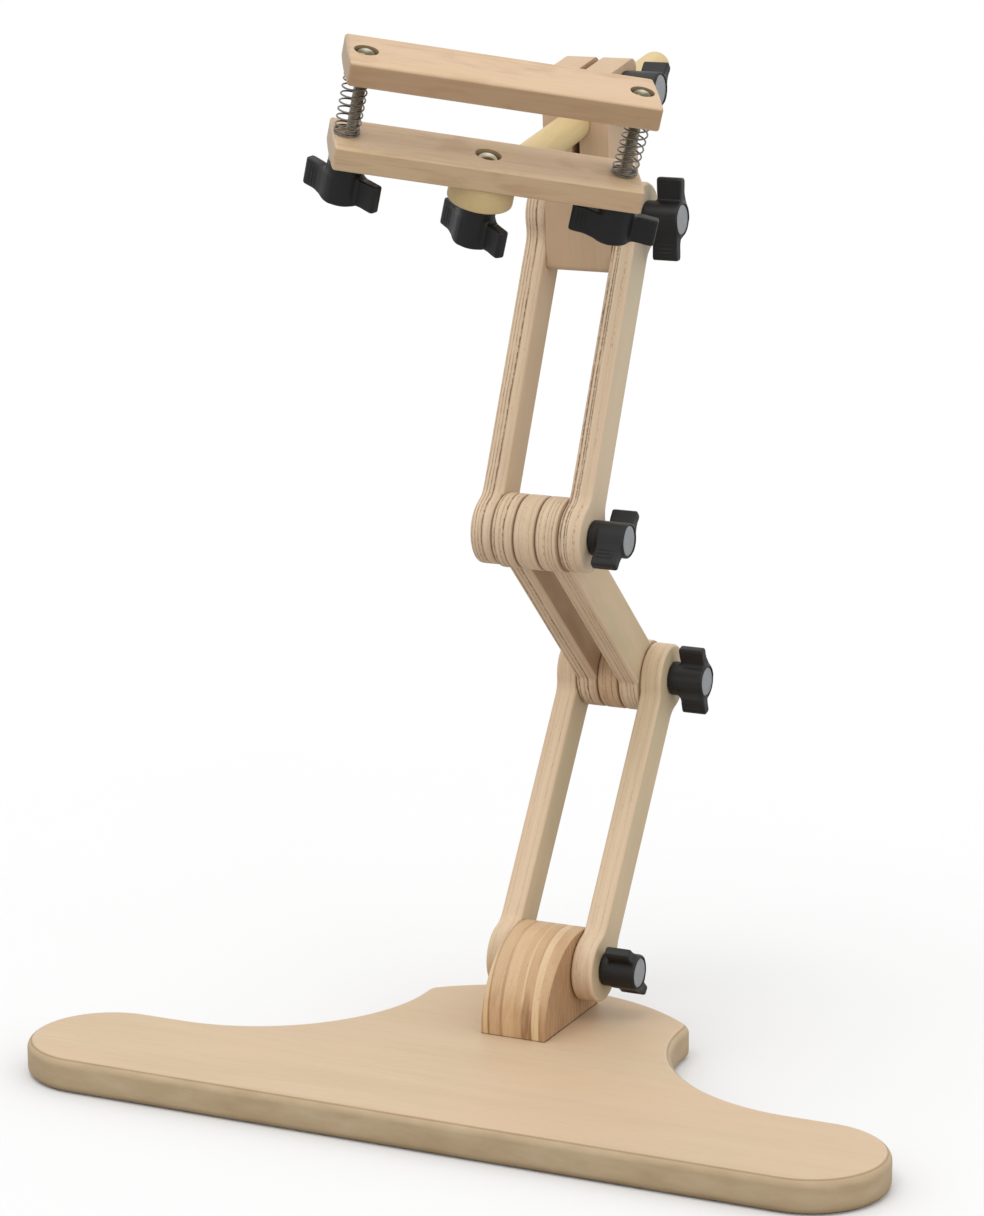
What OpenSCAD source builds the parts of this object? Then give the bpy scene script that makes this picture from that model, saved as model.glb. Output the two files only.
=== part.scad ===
// Table stand that holds an embroidery frame: a board, a folding arm of
// three links with wing knobs, a head block with a sliding dowel, and a
// pair of sprung jaws.
// +X is the right-hand side seen from the front, -Y is the front, +Z is up.
// The origin is in the middle of the underside of the board.

/* [Base board] */
// Thickness of the board
base_t = 18; // [15:0.5:22]
// How far the centre of each side lobe lies from the middle
lobe_x = 191; // [180:1:205]
// How far the lobe centres lie in front of the origin
lobe_y = 65.5; // [60:0.5:72]
// Radius of the side lobes
lobe_r = 40.5; // [37:0.5:44]
// Half width of the tongue at the back
tongue_w = 75; // [68:1:80]
// Radius of the hollows between the lobes and the tongue
hollow_r = 93; // [85:1:98]
// How far the tongue reaches behind the origin
tongue_y = 106; // [100:1:115]
// Radius of the corners of the tongue
tongue_corner = 8; // [5:1:12]

/* [Pivot block] */
// Width of the block, the same as the head block
block_w = 36; // [34:1:38]
// Front face of the block, behind the origin
block_front = 18.5; // [14:0.5:21]
// Radius of the round front shoulder
block_shoulder = 45; // [40:1:45]
// Radius of the round back of the block about the lowest pivot
block_back_r = 19.5; // [18:0.5:21]
// The lowest pivot, behind the origin
pivot_y = 68; // [66:1:74]
// Height of the lowest pivot above the board
pivot_h = 27; // [27:0.5:32]

/* [Arms] */
// Thickness of the plywood of the arms and the link
ply_t = 12; // [10:0.5:13]
// Width of the arms
arm_w = 21; // [18:1:24]
// Radius of the round arm ends
arm_end_r = 18; // [16:0.5:19]
// Radius of the hollow where an arm widens to its round end
arm_fillet = 12; // [8:1:20]
// Length of the lower arms between pivots
lower_l = 162; // [140:1:180]
// Lean of the lower arms above the horizontal
lower_lean = 56.3; // [50:0.1:65]
// Length of the middle link between pivots
link_l = 146; // [130:1:160]
// Direction of the middle link above the horizontal
link_lean = 138.2; // [130:0.1:145]
// Width of the middle link
link_w = 26; // [22:1:28]
// Radius of the round link ends
link_end_r = 19; // [17:0.5:20]
// Radius of the notch where the link leaves its round ends
link_fillet = 3; // [2:0.5:12]
// Length of the upper arms between pivots
upper_l = 167; // [150:1:180]
// Lean of the upper arms above the horizontal
upper_lean = 66.5; // [60:0.1:72]

/* [Head block] */
// Depth of the head block, front to back
head_d = 38; // [36:1:42]
// Height of the middle of the head block above its pivot
head_up = 77; // [76:1:84]
// Rise of the top of the head block towards the back
head_slope = 7; // [0:0.5:8]
// Height of the head block below its pivot
head_down = 26; // [22:1:30]
// Forward lean of the head block
head_lean = 4.2; // [0:0.1:8]
// Width of the saw kerf that lets the block grip the dowel
kerf_w = 4; // [2:0.5:5]
// Depth of the kerf from the top of the block
kerf_depth = 45; // [42:1:50]
// Height of the kerf bolt above the pivot, along the block
kerf_bolt_z = 65; // [64:0.5:66]

/* [Dowel] */
// Diameter of the dowel
dowel_d = 16; // [15:0.5:16]
// Rise of the dowel towards the back
dowel_rise = 11.15; // [10:0.05:11.6]
// Distance from the clamp to the round tip of the dowel
dowel_l = 229; // [200:1:240]
// Diameter of the round foot that carries the clamp
disc_d = 32; // [30:1:36]

/* [Clamp] */
// Roll of the clamp about the dowel
clamp_roll = 16.7; // [10:0.1:20]
// Turn of the clamp about its centre bolt
clamp_turn = 28.3; // [20:0.1:32]
// Width of the jaws
jaw_w = 36; // [30:1:40]
// Thickness of the jaws
jaw_t = 12; // [10:0.5:14]
// Gap between the open jaws
jaw_gap = 31.2; // [28:0.1:34]
// Distance of the jaw bolts from the centre bolt
jaw_bolt_u = 66.2; // [62:0.1:68]
// Half length of the lower jaw
lower_jaw_half = 75; // [74.8:0.1:84]
// Half length of the upper jaw
upper_jaw_half = 75; // [74.8:0.1:84]
// How far the jaw ends bulge
jaw_bulge = 0.5; // [0.5:0.5:5]
// Outer diameter of the jaw springs
spring_d = 13; // [12:0.5:14]
// Diameter of the spring wire
wire_d = 0.9; // [0.7:0.1:1]
// Open coils of each spring
open_coils = 7; // [5:1:9]

/* [Wing knobs] */
// Diameter of the hub
hub_d = 18; // [17:0.5:20]
// Height of the hub
hub_h = 19.7; // [19.5:0.1:22]
// Diameter of the cap in the end of the hub
cap_d = 15.5; // [14:0.5:16]
// Reach of the wings of the arm knobs from their axis
short_reach = 18.5; // [17:0.5:20]
// Reach of the wings of the clamp and head knobs from their axis
long_reach = 21; // [20:0.5:23]
// Thickness of the wings at their tips
wing_t = 5.4; // [4.5:0.1:6]

/* [Hidden] */
$fn = 96;

bolt_d = 6;
run = 0.1;                       // added to the diameter of every running bore
bore_d = bolt_d + run;
air = 0.05;                      // gap between plates that turn on each other
knob_air = 0.1;                  // gap between a knob and what it presses on
knob_hole = 17.6;                // depth of the blind hole in a knob
cap_t = 1.5;

// board outline
lobe_back = -lobe_y + lobe_r;
hollow_y = lobe_back + hollow_r;
corner_x = tongue_w - tongue_corner;
corner_y = hollow_y + 4.5;
tongue_k = tongue_y - tongue_corner;
arc_y = (pow(tongue_k, 2) - pow(corner_x, 2) - pow(corner_y, 2))
      / (2 * (tongue_k - corner_y));
arc_r = tongue_y - arc_y;
corner_dir = atan2(corner_y - arc_y, corner_x);

// pivots, as [behind the origin, above the table]
function along(p, l, a) = [p[0] + l * cos(a), p[1] + l * sin(a)];
pa = [pivot_y, base_t + pivot_h];
pb = along(pa, lower_l, lower_lean);
pc = along(pb, link_l, link_lean);
pd = along(pc, upper_l, upper_lean);

half = block_w / 2;
arm_in = half + air;             // inner face of the right arms
arm_out = arm_in + ply_t;        // outer face of the right arms
bar_in = half - ply_t;           // inner face of the right link bar

// clamp: point where the centre bolt meets the axis of the dowel
clamp_o = [0, pd[0] - 135.436, pd[1] + 25.761];
foot_top = 8.45;                 // top of the dowel foot, along the bolt
foot_bottom = -3.9;
jaw_lo = 8.5;                    // underside of the lower jaw
jaw_up = jaw_lo + jaw_t + jaw_gap;
spigot_d = 6.6;                  // spigot of the dowel inside its foot
washer_t = 1.6;
seat = 2.6;                      // depth of the seats of the jaw bolt heads
seat_d = 12.6;
under_jaw = jaw_lo - washer_t - 2 * knob_air - 0.6;
under_foot = foot_bottom - washer_t - 2 * knob_air - 0.6;
jaw_bolt_l = jaw_up + jaw_t - seat - 4.1;
spring_left_u = -jaw_bolt_u - 2.3;     // the springs sit loosely round the bolts
spring_right_u = jaw_bolt_u + 0.4;

wood = [0.87, 0.76, 0.63];
ply = [0.85, 0.74, 0.60];
laminate = [0.78, 0.63, 0.44];
pale = [0.90, 0.80, 0.60];
steel = [0.75, 0.75, 0.74];
black = [0.12, 0.12, 0.13];
grey = [0.58, 0.59, 0.60];

// ---- helpers ----

// children drawn as [back, up], extruded along +X from x0
module plate(x0, t) {
  translate([x0, 0, 0]) rotate([90, 0, 90]) linear_extrude(t) children();
}

// bore or pin along X through a pivot
module rod(p, x0, l, d) {
  translate([x0, p[0], p[1]]) rotate([0, 90, 0]) cylinder(d = d, h = l);
}

// straight bar with round ends that widen out of it
module bar_outline(l, w, r, f) {
  yf = w / 2 + f;
  xf = sqrt(pow(r + f, 2) - pow(yf, 2));
  yt = yf * r / (r + f);
  circle(r);
  translate([l, 0]) circle(r);
  difference() {
    translate([0, -yt]) square([l, 2 * yt]);
    for (s = [-1, 1]) {
      translate([xf, s * yf]) circle(f);
      translate([l - xf, s * yf]) circle(f);
      translate([xf, s * (w / 2 + r) - r]) square([l - 2 * xf, 2 * r]);
    }
  }
}

// one plywood bar between two pivots, with a bore at each end
module bar(x0, p, l, a, w, r, f = arm_fillet) {
  difference() {
    plate(x0, ply_t) translate(p) rotate(a) bar_outline(l, w, r, f);
    rod(p, x0 - 1, ply_t + 2, bore_d);
    rod(along(p, l, a), x0 - 1, ply_t + 2, bore_d);
  }
}

// square seat for the neck of a carriage bolt, in the outer face of a left bar
module neck_seat(p) {
  translate([-arm_out - 1, p[0], p[1]]) rotate([0, 90, 0])
    translate([-3.05, -3.05, 0]) cube([6.1, 6.1, 4.5]);
}

// domed head, with its seat at z = 0 and its shank along +z
module bolt(l, head_d, head_h, neck = 0) {
  hr = (pow(head_d / 2, 2) + pow(head_h, 2)) / (2 * head_h);
  rotate_extrude() intersection() {
    translate([0, hr - head_h]) circle(hr);
    translate([0, -head_h]) square([head_d / 2, head_h]);
  }
  cylinder(d = bolt_d, h = l);
  if (neck > 0) translate([-3, -3, 0]) cube([6, 6, neck]);
}

// carriage bolt through a pivot, from the left
module pivot_bolt(p) {
  translate([-arm_out, p[0], p[1]]) rotate([0, 90, 0])
    bolt(2 * arm_out + 11.9, 15, 3.4, 3.2);
}

// one wing, along +x, that leaves the hub on its -y side
module wing(reach) {
  hr = hub_d / 2;
  o = -2.1 - wing_t / 2;
  i = -2.1 + wing_t / 2;
  intersection() {
    linear_extrude(hub_h) polygon([[0, -hr], [3, -hr + 0.35],
      [reach - 1, o], [reach, o + 1], [reach, i - 1], [reach - 1, i],
      [hr + 1, i], [hr - 2, i + 1.6], [0, i + 2]]);
    translate([0, hr + 1, 0]) rotate([90, 0, 0]) linear_extrude(2 * hr + 2)
      polygon([[0, 5.4], [reach - 1, 5.0], [reach, 6.0], [reach, 17.6],
        [reach - 1, 18.6], [hr, 19.1], [0, 19.1]]);
  }
}

// wing knob, with its foot at z = 0 and its cap towards +z
module wing_knob(reach) {
  color(black) difference() {
    union() {
      cylinder(d = hub_d, h = hub_h);
      wing(reach);
      rotate(180) wing(reach);
    }
    translate([0, 0, -1]) cylinder(d = bore_d, h = knob_hole + 1);
    translate([0, 0, hub_h - cap_t]) cylinder(d = cap_d, h = cap_t + 1);
  }
}

module knob_cap() {
  color(grey) translate([0, 0, hub_h - cap_t]) cylinder(d = cap_d, h = cap_t);
}

// place for a knob on the right-hand side of pivot p, turned by a
module right_side(x, p, a) {
  translate([x, p[0], p[1]]) rotate([0, 90, 0]) rotate(a) children();
}

// frame of the head block: y and z measured from the top pivot
module at_head() {
  translate([0, pd[0], pd[1]]) rotate([head_lean, 0, 0]) children();
}

// frame of the dowel: +z runs along its axis to the back
module at_dowel() {
  translate(clamp_o) rotate([dowel_rise, 0, 0]) rotate([-90, 0, 0]) children();
}

// frame of the clamp: x along the jaws, z along the bolts
module at_clamp() {
  translate(clamp_o) rotate([dowel_rise, 0, 0]) rotate([0, clamp_roll, 0])
    rotate([0, 0, clamp_turn]) children();
}

// place for a knob under the clamp, turned by a
module under(u, w, a) {
  at_clamp() translate([u, 0, w]) rotate([180, 0, 0]) rotate(a) children();
}

module jaw_outline(h) {
  r = (pow(jaw_w / 2, 2) + pow(jaw_bulge, 2)) / (2 * jaw_bulge);
  intersection() {
    translate([-h, -jaw_w / 2]) square([2 * h, jaw_w]);
    union() {
      for (s = [-1, 1]) translate([s * (h - r), 0]) circle(r);
      translate([-h + r, -jaw_w]) square([2 * (h - r), 2 * jaw_w]);
    }
  }
}

// ---- coil spring: one tube swept along a helix of varying pitch ----
closed = 2;                                  // closed coils at the bottom
turns = closed + open_coils + 1;
tight = wire_d + 0.12;                       // pitch of the closed coils
spring_h = jaw_gap - 0.1;
open_pitch = (spring_h - wire_d - (closed + 1) * tight) / open_coils;
function rise(n) = n < closed ? n * tight
  : n < closed + open_coils ? closed * tight + (n - closed) * open_pitch
  : closed * tight + open_coils * open_pitch + (n - closed - open_coils) * tight;
coil_steps = 16;
coil_sides = 8;

module coil() {
  m = turns * coil_steps;
  cr = (spring_d - wire_d) / 2;
  pts = [for (i = [0:m], j = [0:coil_sides - 1])
    let (t = 360 * i / coil_steps, b = 360 * j / coil_sides,
         q = cr + wire_d / 2 * cos(b))
    [q * cos(t), q * sin(t),
     wire_d / 2 + rise(i / coil_steps) + wire_d / 2 * sin(b)]];
  sides = [for (i = [0:m - 1], j = [0:coil_sides - 1])
    let (k = (j + 1) % coil_sides, a = i * coil_sides)
    [a + j, a + k, a + coil_sides + k, a + coil_sides + j]];
  ends = [[for (j = [coil_sides - 1:-1:0]) j],
          [for (j = [0:coil_sides - 1]) m * coil_sides + j]];
  polyhedron(pts, concat(sides, ends), convexity = 10);
}

// ---- base ----
module base_outline() {
  far = 2 * arc_r;
  difference() {
    union() {
      for (s = [-1, 1]) translate([s * lobe_x, -lobe_y]) circle(lobe_r);
      translate([-lobe_x, -lobe_y - lobe_r]) square([2 * lobe_x, 2 * lobe_r]);
      translate([-tongue_w - hollow_r, lobe_back - 1])
        square([2 * (tongue_w + hollow_r), hollow_r + 1]);
    }
    for (s = [-1, 1]) translate([s * (tongue_w + hollow_r), hollow_y])
      circle(hollow_r);
  }
  translate([-tongue_w, hollow_y - 6]) square([2 * tongue_w, corner_y - hollow_y + 6]);
  for (s = [-1, 1]) translate([s * corner_x, corner_y]) circle(tongue_corner);
  intersection() {
    translate([0, arc_y]) circle(arc_r);
    polygon([[0, arc_y],
      [far * cos(corner_dir), arc_y + far * sin(corner_dir)],
      [-far * cos(corner_dir), arc_y + far * sin(corner_dir)]]);
  }
}

module base_board() color(wood) linear_extrude(base_t) base_outline();

module block_outline() {
  cy = block_front + block_shoulder;
  top = pa[1] + block_back_r;
  cz = top - block_shoulder;
  back = pa[0] + block_back_r;
  intersection() {
    translate([cy, cz]) circle(block_shoulder);
    translate([block_front, cz]) square([block_shoulder, block_shoulder]);
  }
  translate([cy - 1, base_t]) square([pa[0] - cy + 1, top - base_t]);
  translate([block_front, base_t]) square([back - block_front, cz - base_t + 0.5]);
  translate([cy - 1, base_t]) square([back - cy + 1, pa[1] - base_t]);
  translate(pa) circle(block_back_r);
}

module pivot_block() color(laminate) difference() {
  plate(-half, block_w) block_outline();
  rod(pa, -half - 1, block_w + 2, bore_d);
}

// ---- arms ----
module lower_arm_left() color(ply) difference() {
  bar(-arm_out, pa, lower_l, lower_lean, arm_w, arm_end_r);
  neck_seat(pa);
  neck_seat(pb);
}
module lower_arm_right() color(ply)
  bar(arm_in, pa, lower_l, lower_lean, arm_w, arm_end_r);
module pivot_bolt_a() color(steel) pivot_bolt(pa);
module pivot_bolt_b() color(steel) pivot_bolt(pb);

module link_bar_left() color(ply)
  bar(-half, pb, link_l, link_lean, link_w, link_end_r, link_fillet);
module link_bar_right() color(ply)
  bar(bar_in, pb, link_l, link_lean, link_w, link_end_r, link_fillet);
module spacer(p) color(ply) difference() {
  rod(p, -bar_in, 2 * bar_in, 2 * link_end_r);
  rod(p, -bar_in - 1, 2 * bar_in + 2, bore_d);
}
module link_spacer_lower() spacer(pb);
module link_spacer_upper() spacer(pc);

module upper_arm_left() color(ply) difference() {
  bar(-arm_out, pc, upper_l, upper_lean, arm_w, arm_end_r);
  neck_seat(pc);
  neck_seat(pd);
}
module upper_arm_right() color(ply)
  bar(arm_in, pc, upper_l, upper_lean, arm_w, arm_end_r);
module pivot_bolt_c() color(steel) pivot_bolt(pc);
module pivot_bolt_d() color(steel) pivot_bolt(pd);

// ---- head ----
module head_outline() {
  // back and up from the pivot, with eased corners
  lift = head_d / 2 * tan(head_slope);
  r = 4;
  cy = head_d / 2 - r;
  cz = head_up + cy * tan(head_slope) - r / cos(head_slope);
  difference() {
    union() {
      polygon([[-head_d / 2, -head_down], [head_d / 2, -head_down], [head_d / 2, cz],
        [cy - r * sin(head_slope), cz + r * cos(head_slope)],
        [-head_d / 2, head_up - lift]]);
      translate([cy, cz]) circle(r);
    }
    translate([-head_d / 2 - 1, -head_down - 1]) difference() {
      square([4, 4]);
      translate([4, 4]) circle(3);
    }
    translate([head_d / 2 - 3, -head_down - 1]) difference() {
      square([4, 4]);
      translate([0, 4]) circle(3);
    }
  }
}

module head_block() color(wood) difference() {
  at_head() plate(-half, block_w) head_outline();
  at_head() translate([-kerf_w / 2, -head_d, head_up - kerf_depth])
    cube([kerf_w, 2 * head_d, kerf_depth + 15]);
  rod(pd, -half - 1, block_w + 2, bore_d);
  at_head() rod([3, kerf_bolt_z], -half - 1, block_w + 2, bore_d);
  at_dowel() translate([0, 0, 100]) cylinder(d = dowel_d + run, h = 70);
}

module kerf_bolt() color(steel) at_head()
  translate([-half, 3, kerf_bolt_z]) rotate([0, 90, 0]) bolt(block_w + 14, 13, 3.4);

module dowel() color(pale) at_dowel() {
  translate([0, 0, 5]) cylinder(d = spigot_d, h = 14);
  translate([0, 0, disc_d / 2 + 0.3])
    cylinder(d = dowel_d, h = dowel_l - dowel_d / 2 - disc_d / 2 - 0.3);
  translate([0, 0, dowel_l - dowel_d / 2]) sphere(d = dowel_d);
}

module dowel_foot() color(pale) difference() {
  at_clamp() translate([0, 0, foot_bottom])
    cylinder(d = disc_d, h = foot_top - foot_bottom);
  at_clamp() translate([0, 0, -10]) cylinder(d = bore_d, h = 30);
  at_dowel() translate([0, 0, 4.6]) cylinder(d = spigot_d + run, h = 30);
}

// ---- clamp ----
module lower_jaw() color(wood) at_clamp() difference() {
  translate([0, 0, jaw_lo]) linear_extrude(jaw_t)
    jaw_outline(lower_jaw_half);
  for (u = [-jaw_bolt_u, 0, jaw_bolt_u])
    translate([u, 0, jaw_lo - 1]) cylinder(d = bore_d, h = jaw_t + 2);
  translate([0, 0, jaw_lo + jaw_t - seat]) cylinder(d = seat_d, h = seat + 1);
}

module upper_jaw() color(wood) at_clamp() difference() {
  translate([0, 0, jaw_up]) linear_extrude(jaw_t)
    jaw_outline(upper_jaw_half);
  for (u = [-jaw_bolt_u, jaw_bolt_u]) translate([u, 0, jaw_up]) {
    translate([0, 0, -1]) cylinder(d = bore_d, h = jaw_t + 2);
    translate([0, 0, jaw_t - seat]) cylinder(d = seat_d, h = seat + 1);
  }
}

// bolt that hangs down from a seat at height w in the clamp
module clamp_bolt(u, w, l) color(steel)
  at_clamp() translate([u, 0, w]) rotate([180, 0, 0]) bolt(l, 12, 3);

module jaw_bolt_left() clamp_bolt(-jaw_bolt_u, jaw_up + jaw_t - seat, jaw_bolt_l);
module jaw_bolt_right() clamp_bolt(jaw_bolt_u, jaw_up + jaw_t - seat, jaw_bolt_l);
module centre_bolt() clamp_bolt(0, jaw_lo + jaw_t - seat, 38);

module spring(u) color(steel) at_clamp()
  translate([u, 0, jaw_lo + jaw_t + 0.05]) coil();
module jaw_spring_left() spring(spring_left_u);
module jaw_spring_right() spring(spring_right_u);

// flat washer between a knob and the wood above it
module washer(u, w) color(steel) at_clamp()
  translate([u, 0, w - washer_t - knob_air]) difference() {
    cylinder(d = 18, h = washer_t);
    translate([0, 0, -1]) cylinder(d = bore_d, h = washer_t + 2);
  }
module jaw_washer_left() washer(-jaw_bolt_u, jaw_lo);
module jaw_washer_right() washer(jaw_bolt_u, jaw_lo);
module centre_washer() washer(0, foot_bottom);

// ---- knobs ----
side_x = arm_out + knob_air;
head_x = half + knob_air;
kerf_p = [pd[0] + 3 * cos(head_lean) - kerf_bolt_z * sin(head_lean),
          pd[1] + 3 * sin(head_lean) + kerf_bolt_z * cos(head_lean)];
turn_a = 48;
turn_b = 17.6;
turn_c = -45;
turn_d = 0;
turn_k = -45;
turn_l = 44.4;
turn_r = 15;
turn_m = 57.9;

module knob_a() right_side(side_x, pa, turn_a) wing_knob(short_reach);
module knob_b() right_side(side_x, pb, turn_b) wing_knob(short_reach);
module knob_c() right_side(side_x, pc, turn_c) wing_knob(short_reach);
module knob_d() right_side(side_x, pd, turn_d) wing_knob(long_reach);
module kerf_knob() right_side(head_x, kerf_p, turn_k) wing_knob(short_reach);
module jaw_knob_left() under(-jaw_bolt_u, under_jaw, turn_l) wing_knob(long_reach);
module jaw_knob_right() under(jaw_bolt_u, under_jaw, turn_r) wing_knob(long_reach);
module centre_knob() under(0, under_foot, turn_m) wing_knob(long_reach);

module knob_cap_a() right_side(side_x, pa, turn_a) knob_cap();
module knob_cap_b() right_side(side_x, pb, turn_b) knob_cap();
module knob_cap_c() right_side(side_x, pc, turn_c) knob_cap();
module knob_cap_d() right_side(side_x, pd, turn_d) knob_cap();
module kerf_knob_cap() right_side(head_x, kerf_p, turn_k) knob_cap();
module jaw_knob_cap_left() under(-jaw_bolt_u, under_jaw, turn_l) knob_cap();
module jaw_knob_cap_right() under(jaw_bolt_u, under_jaw, turn_r) knob_cap();
module centre_knob_cap() under(0, under_foot, turn_m) knob_cap();

base_board();
pivot_block();
lower_arm_left();
lower_arm_right();
pivot_bolt_a();
pivot_bolt_b();
link_bar_left();
link_bar_right();
link_spacer_lower();
link_spacer_upper();
upper_arm_left();
upper_arm_right();
pivot_bolt_c();
pivot_bolt_d();
head_block();
kerf_bolt();
dowel();
dowel_foot();
lower_jaw();
centre_bolt();
jaw_spring_left();
jaw_spring_right();
jaw_washer_left();
jaw_washer_right();
centre_washer();
upper_jaw();
jaw_bolt_left();
jaw_bolt_right();
knob_a();
knob_b();
knob_c();
knob_d();
kerf_knob();
jaw_knob_left();
jaw_knob_right();
centre_knob();
knob_cap_a();
knob_cap_b();
knob_cap_c();
knob_cap_d();
kerf_knob_cap();
jaw_knob_cap_left();
jaw_knob_cap_right();
centre_knob_cap();
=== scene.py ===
# The looks of a table stand that holds an embroidery frame: wood, plywood,
# moulded wing knobs, bolts and springs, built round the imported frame.
import math
import bpy
import numpy as np
from mathutils import Matrix, Vector
from mathutils.geometry import tessellate_polygon


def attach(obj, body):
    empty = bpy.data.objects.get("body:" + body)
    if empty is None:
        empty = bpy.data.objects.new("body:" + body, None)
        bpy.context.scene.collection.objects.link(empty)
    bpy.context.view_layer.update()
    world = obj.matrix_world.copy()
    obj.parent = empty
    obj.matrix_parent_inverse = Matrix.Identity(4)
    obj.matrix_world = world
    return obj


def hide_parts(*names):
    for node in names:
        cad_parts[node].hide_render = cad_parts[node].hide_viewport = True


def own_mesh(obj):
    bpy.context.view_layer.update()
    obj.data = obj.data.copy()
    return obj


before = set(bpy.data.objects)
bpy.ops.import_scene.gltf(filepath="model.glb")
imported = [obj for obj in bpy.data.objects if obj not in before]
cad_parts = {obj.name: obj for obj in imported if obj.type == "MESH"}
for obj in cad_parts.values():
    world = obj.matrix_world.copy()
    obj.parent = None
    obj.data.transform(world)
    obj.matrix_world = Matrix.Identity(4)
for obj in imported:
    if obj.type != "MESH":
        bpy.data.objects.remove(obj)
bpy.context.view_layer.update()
MM = 0.001


# ---------------------------------------------------------------- frames
def rot(axis, deg):
    return Matrix.Rotation(math.radians(deg), 4, axis)


def move(x, y, z):
    return Matrix.Translation((x, y, z))


BASE_T = 18.0
PLY = 12.0
HALF = 18.0
ARM_IN = 18.05
ARM_OUT = 30.05
PA = (68.0, 45.0)


def along(p, length, deg):
    a = math.radians(deg)
    return (p[0] + length * math.cos(a), p[1] + length * math.sin(a))


LOWER_L, LOWER_A = 162.0, 56.3
LINK_L, LINK_A = 146.0, 138.2
UPPER_L, UPPER_A = 167.0, 66.5
PB = along(PA, LOWER_L, LOWER_A)
PC = along(PB, LINK_L, LINK_A)
PD = along(PC, UPPER_L, UPPER_A)
HEAD_LEAN = 4.2
O = (0.0, PD[0] - 135.436, PD[1] + 25.761)
AT_HEAD = move(0, PD[0], PD[1]) @ rot("X", HEAD_LEAN)
AT_CLAMP = move(*O) @ rot("X", 11.15) @ rot("Y", 16.7) @ rot("Z", 28.3)
AT_DOWEL = move(*O) @ rot("X", 11.15) @ rot("X", -90)
JAW_LO, JAW_T, GAP = 8.5, 12.0, 31.2
JAW_UP = JAW_LO + JAW_T + GAP
BOLT_U = 66.2


def side_plane(x0):
    """Local (back, up, across) to the frame, for plates that stand across X."""
    return Matrix(((0, 0, 1, x0), (1, 0, 0, 0), (0, 1, 0, 0), (0, 0, 0, 1)))


def bar_plane(x0, p, deg):
    return side_plane(x0) @ move(p[0], p[1], 0) @ rot("Z", deg)


# ---------------------------------------------------------------- meshes
class Shape:
    """A mesh with a normal of its own at every corner of every face."""

    def __init__(self):
        self.v, self.f, self.n, self.w = [], [], [], []

    def ring(self, pts, weights=None):
        start = len(self.v)
        self.v.extend([tuple(p) for p in pts])
        self.w.extend([0.0] * len(pts) if weights is None else [float(w) for w in weights])
        return list(range(start, start + len(pts)))

    def face(self, idx, normals):
        self.f.append(tuple(idx))
        self.n.extend([tuple(n) for n in normals])

    def strip(self, a, b, na, nb, closed=True):
        count = len(a)
        for i in range(count if closed else count - 1):
            j = (i + 1) % count
            self.face((a[i], a[j], b[j], b[i]), (na[i], na[j], nb[j], nb[i]))

    def fan(self, centre, ring, nc, nr, up=True):
        count = len(ring)
        for i in range(count):
            j = (i + 1) % count
            if up:
                self.face((ring[i], ring[j], centre), (nr[i], nr[j], nc))
            else:
                self.face((ring[j], ring[i], centre), (nr[j], nr[i], nc))

    def cap(self, loops, normal):
        """Fills flat loops of vertices (the first one outside, the rest holes)."""
        flat = [i for loop in loops for i in loop]
        polys = [[Vector(self.v[i]) for i in loop] for loop in loops]
        want = Vector(normal)
        for tri in tessellate_polygon(polys):
            a, b, c = (Vector(self.v[flat[k]]) for k in tri)
            cross = (b - a).cross(c - a)
            if cross.length < 1e-9:
                continue
            tri = tri if cross.dot(want) > 0 else tuple(reversed(tri))
            self.face([flat[k] for k in tri], [normal] * 3)


def to_object(name, shape, place, materials, body, nodes, grain=None, shift=(0, 0, 0)):
    """Makes the piece. The attribute holds the piece's own millimetres: along the
    grain, across it and through the thickness."""
    place = np.array(place, float)
    co = np.array(shape.v, float)
    world = co @ place[:3, :3].T + place[:3, 3]
    mesh = bpy.data.meshes.new(name)
    mesh.from_pydata((world * MM).tolist(), [], shape.f)
    mesh.polygons.foreach_set("use_smooth", [True] * len(mesh.polygons))
    nrm = np.array(shape.n, float) @ place[:3, :3].T
    nrm /= np.maximum(np.linalg.norm(nrm, axis=1, keepdims=True), 1e-9)
    mesh.normals_split_custom_set(nrm.tolist())
    axes = np.array(grain if grain is not None else ((1, 0, 0), (0, 1, 0), (0, 0, 1)), float)
    local = co @ axes.T + np.array(shift, float)
    attr = mesh.attributes.new("grain", "FLOAT_VECTOR", "POINT")
    attr.data.foreach_set("vector", local.astype(np.float32).ravel())
    # painted shade for the creases and the bore walls rides in an attribute of its own
    if len(shape.w) == len(shape.v) and max(shape.w) > 0:
        attr = mesh.attributes.new("painted_shade", "FLOAT", "POINT")
        attr.data.foreach_set("value", np.array(shape.w, np.float32))
    for m in materials:
        mesh.materials.append(m)
    if len(materials) == 2:      # the second one is for whatever lies past z = 0.5
        mesh.polygons.foreach_set("material_index", [int(min(co[i][2] for i in f) > 0.5 - 1e-6) for f in shape.f])
    ob = bpy.data.objects.new(name, mesh)
    bpy.context.scene.collection.objects.link(ob)
    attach(ob, body)
    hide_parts(*nodes)
    return ob


# ---------------------------------------------------------------- outlines
def arc(cx, cy, r, a0, a1, step=4.0, hollow=False):
    """Points of an arc with their outward normals. A hollow arc's point outward to its centre."""
    count = max(2, int(math.ceil(abs(a1 - a0) / step)) + 1)
    out = []
    for i in range(count):
        a = math.radians(a0 + (a1 - a0) * i / (count - 1))
        c, s = math.cos(a), math.sin(a)
        k = -1 if hollow else 1
        out.append((cx + r * c, cy + r * s, k * c, k * s))
    return out


def tidy(points):
    """Drops points that repeat their neighbour."""
    out = []
    for p in points:
        if not out or math.hypot(p[0] - out[-1][0], p[1] - out[-1][1]) > 1e-3:
            out.append(p)
    if math.hypot(out[0][0] - out[-1][0], out[0][1] - out[-1][1]) <= 1e-3:
        out.pop()
    return out


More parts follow.
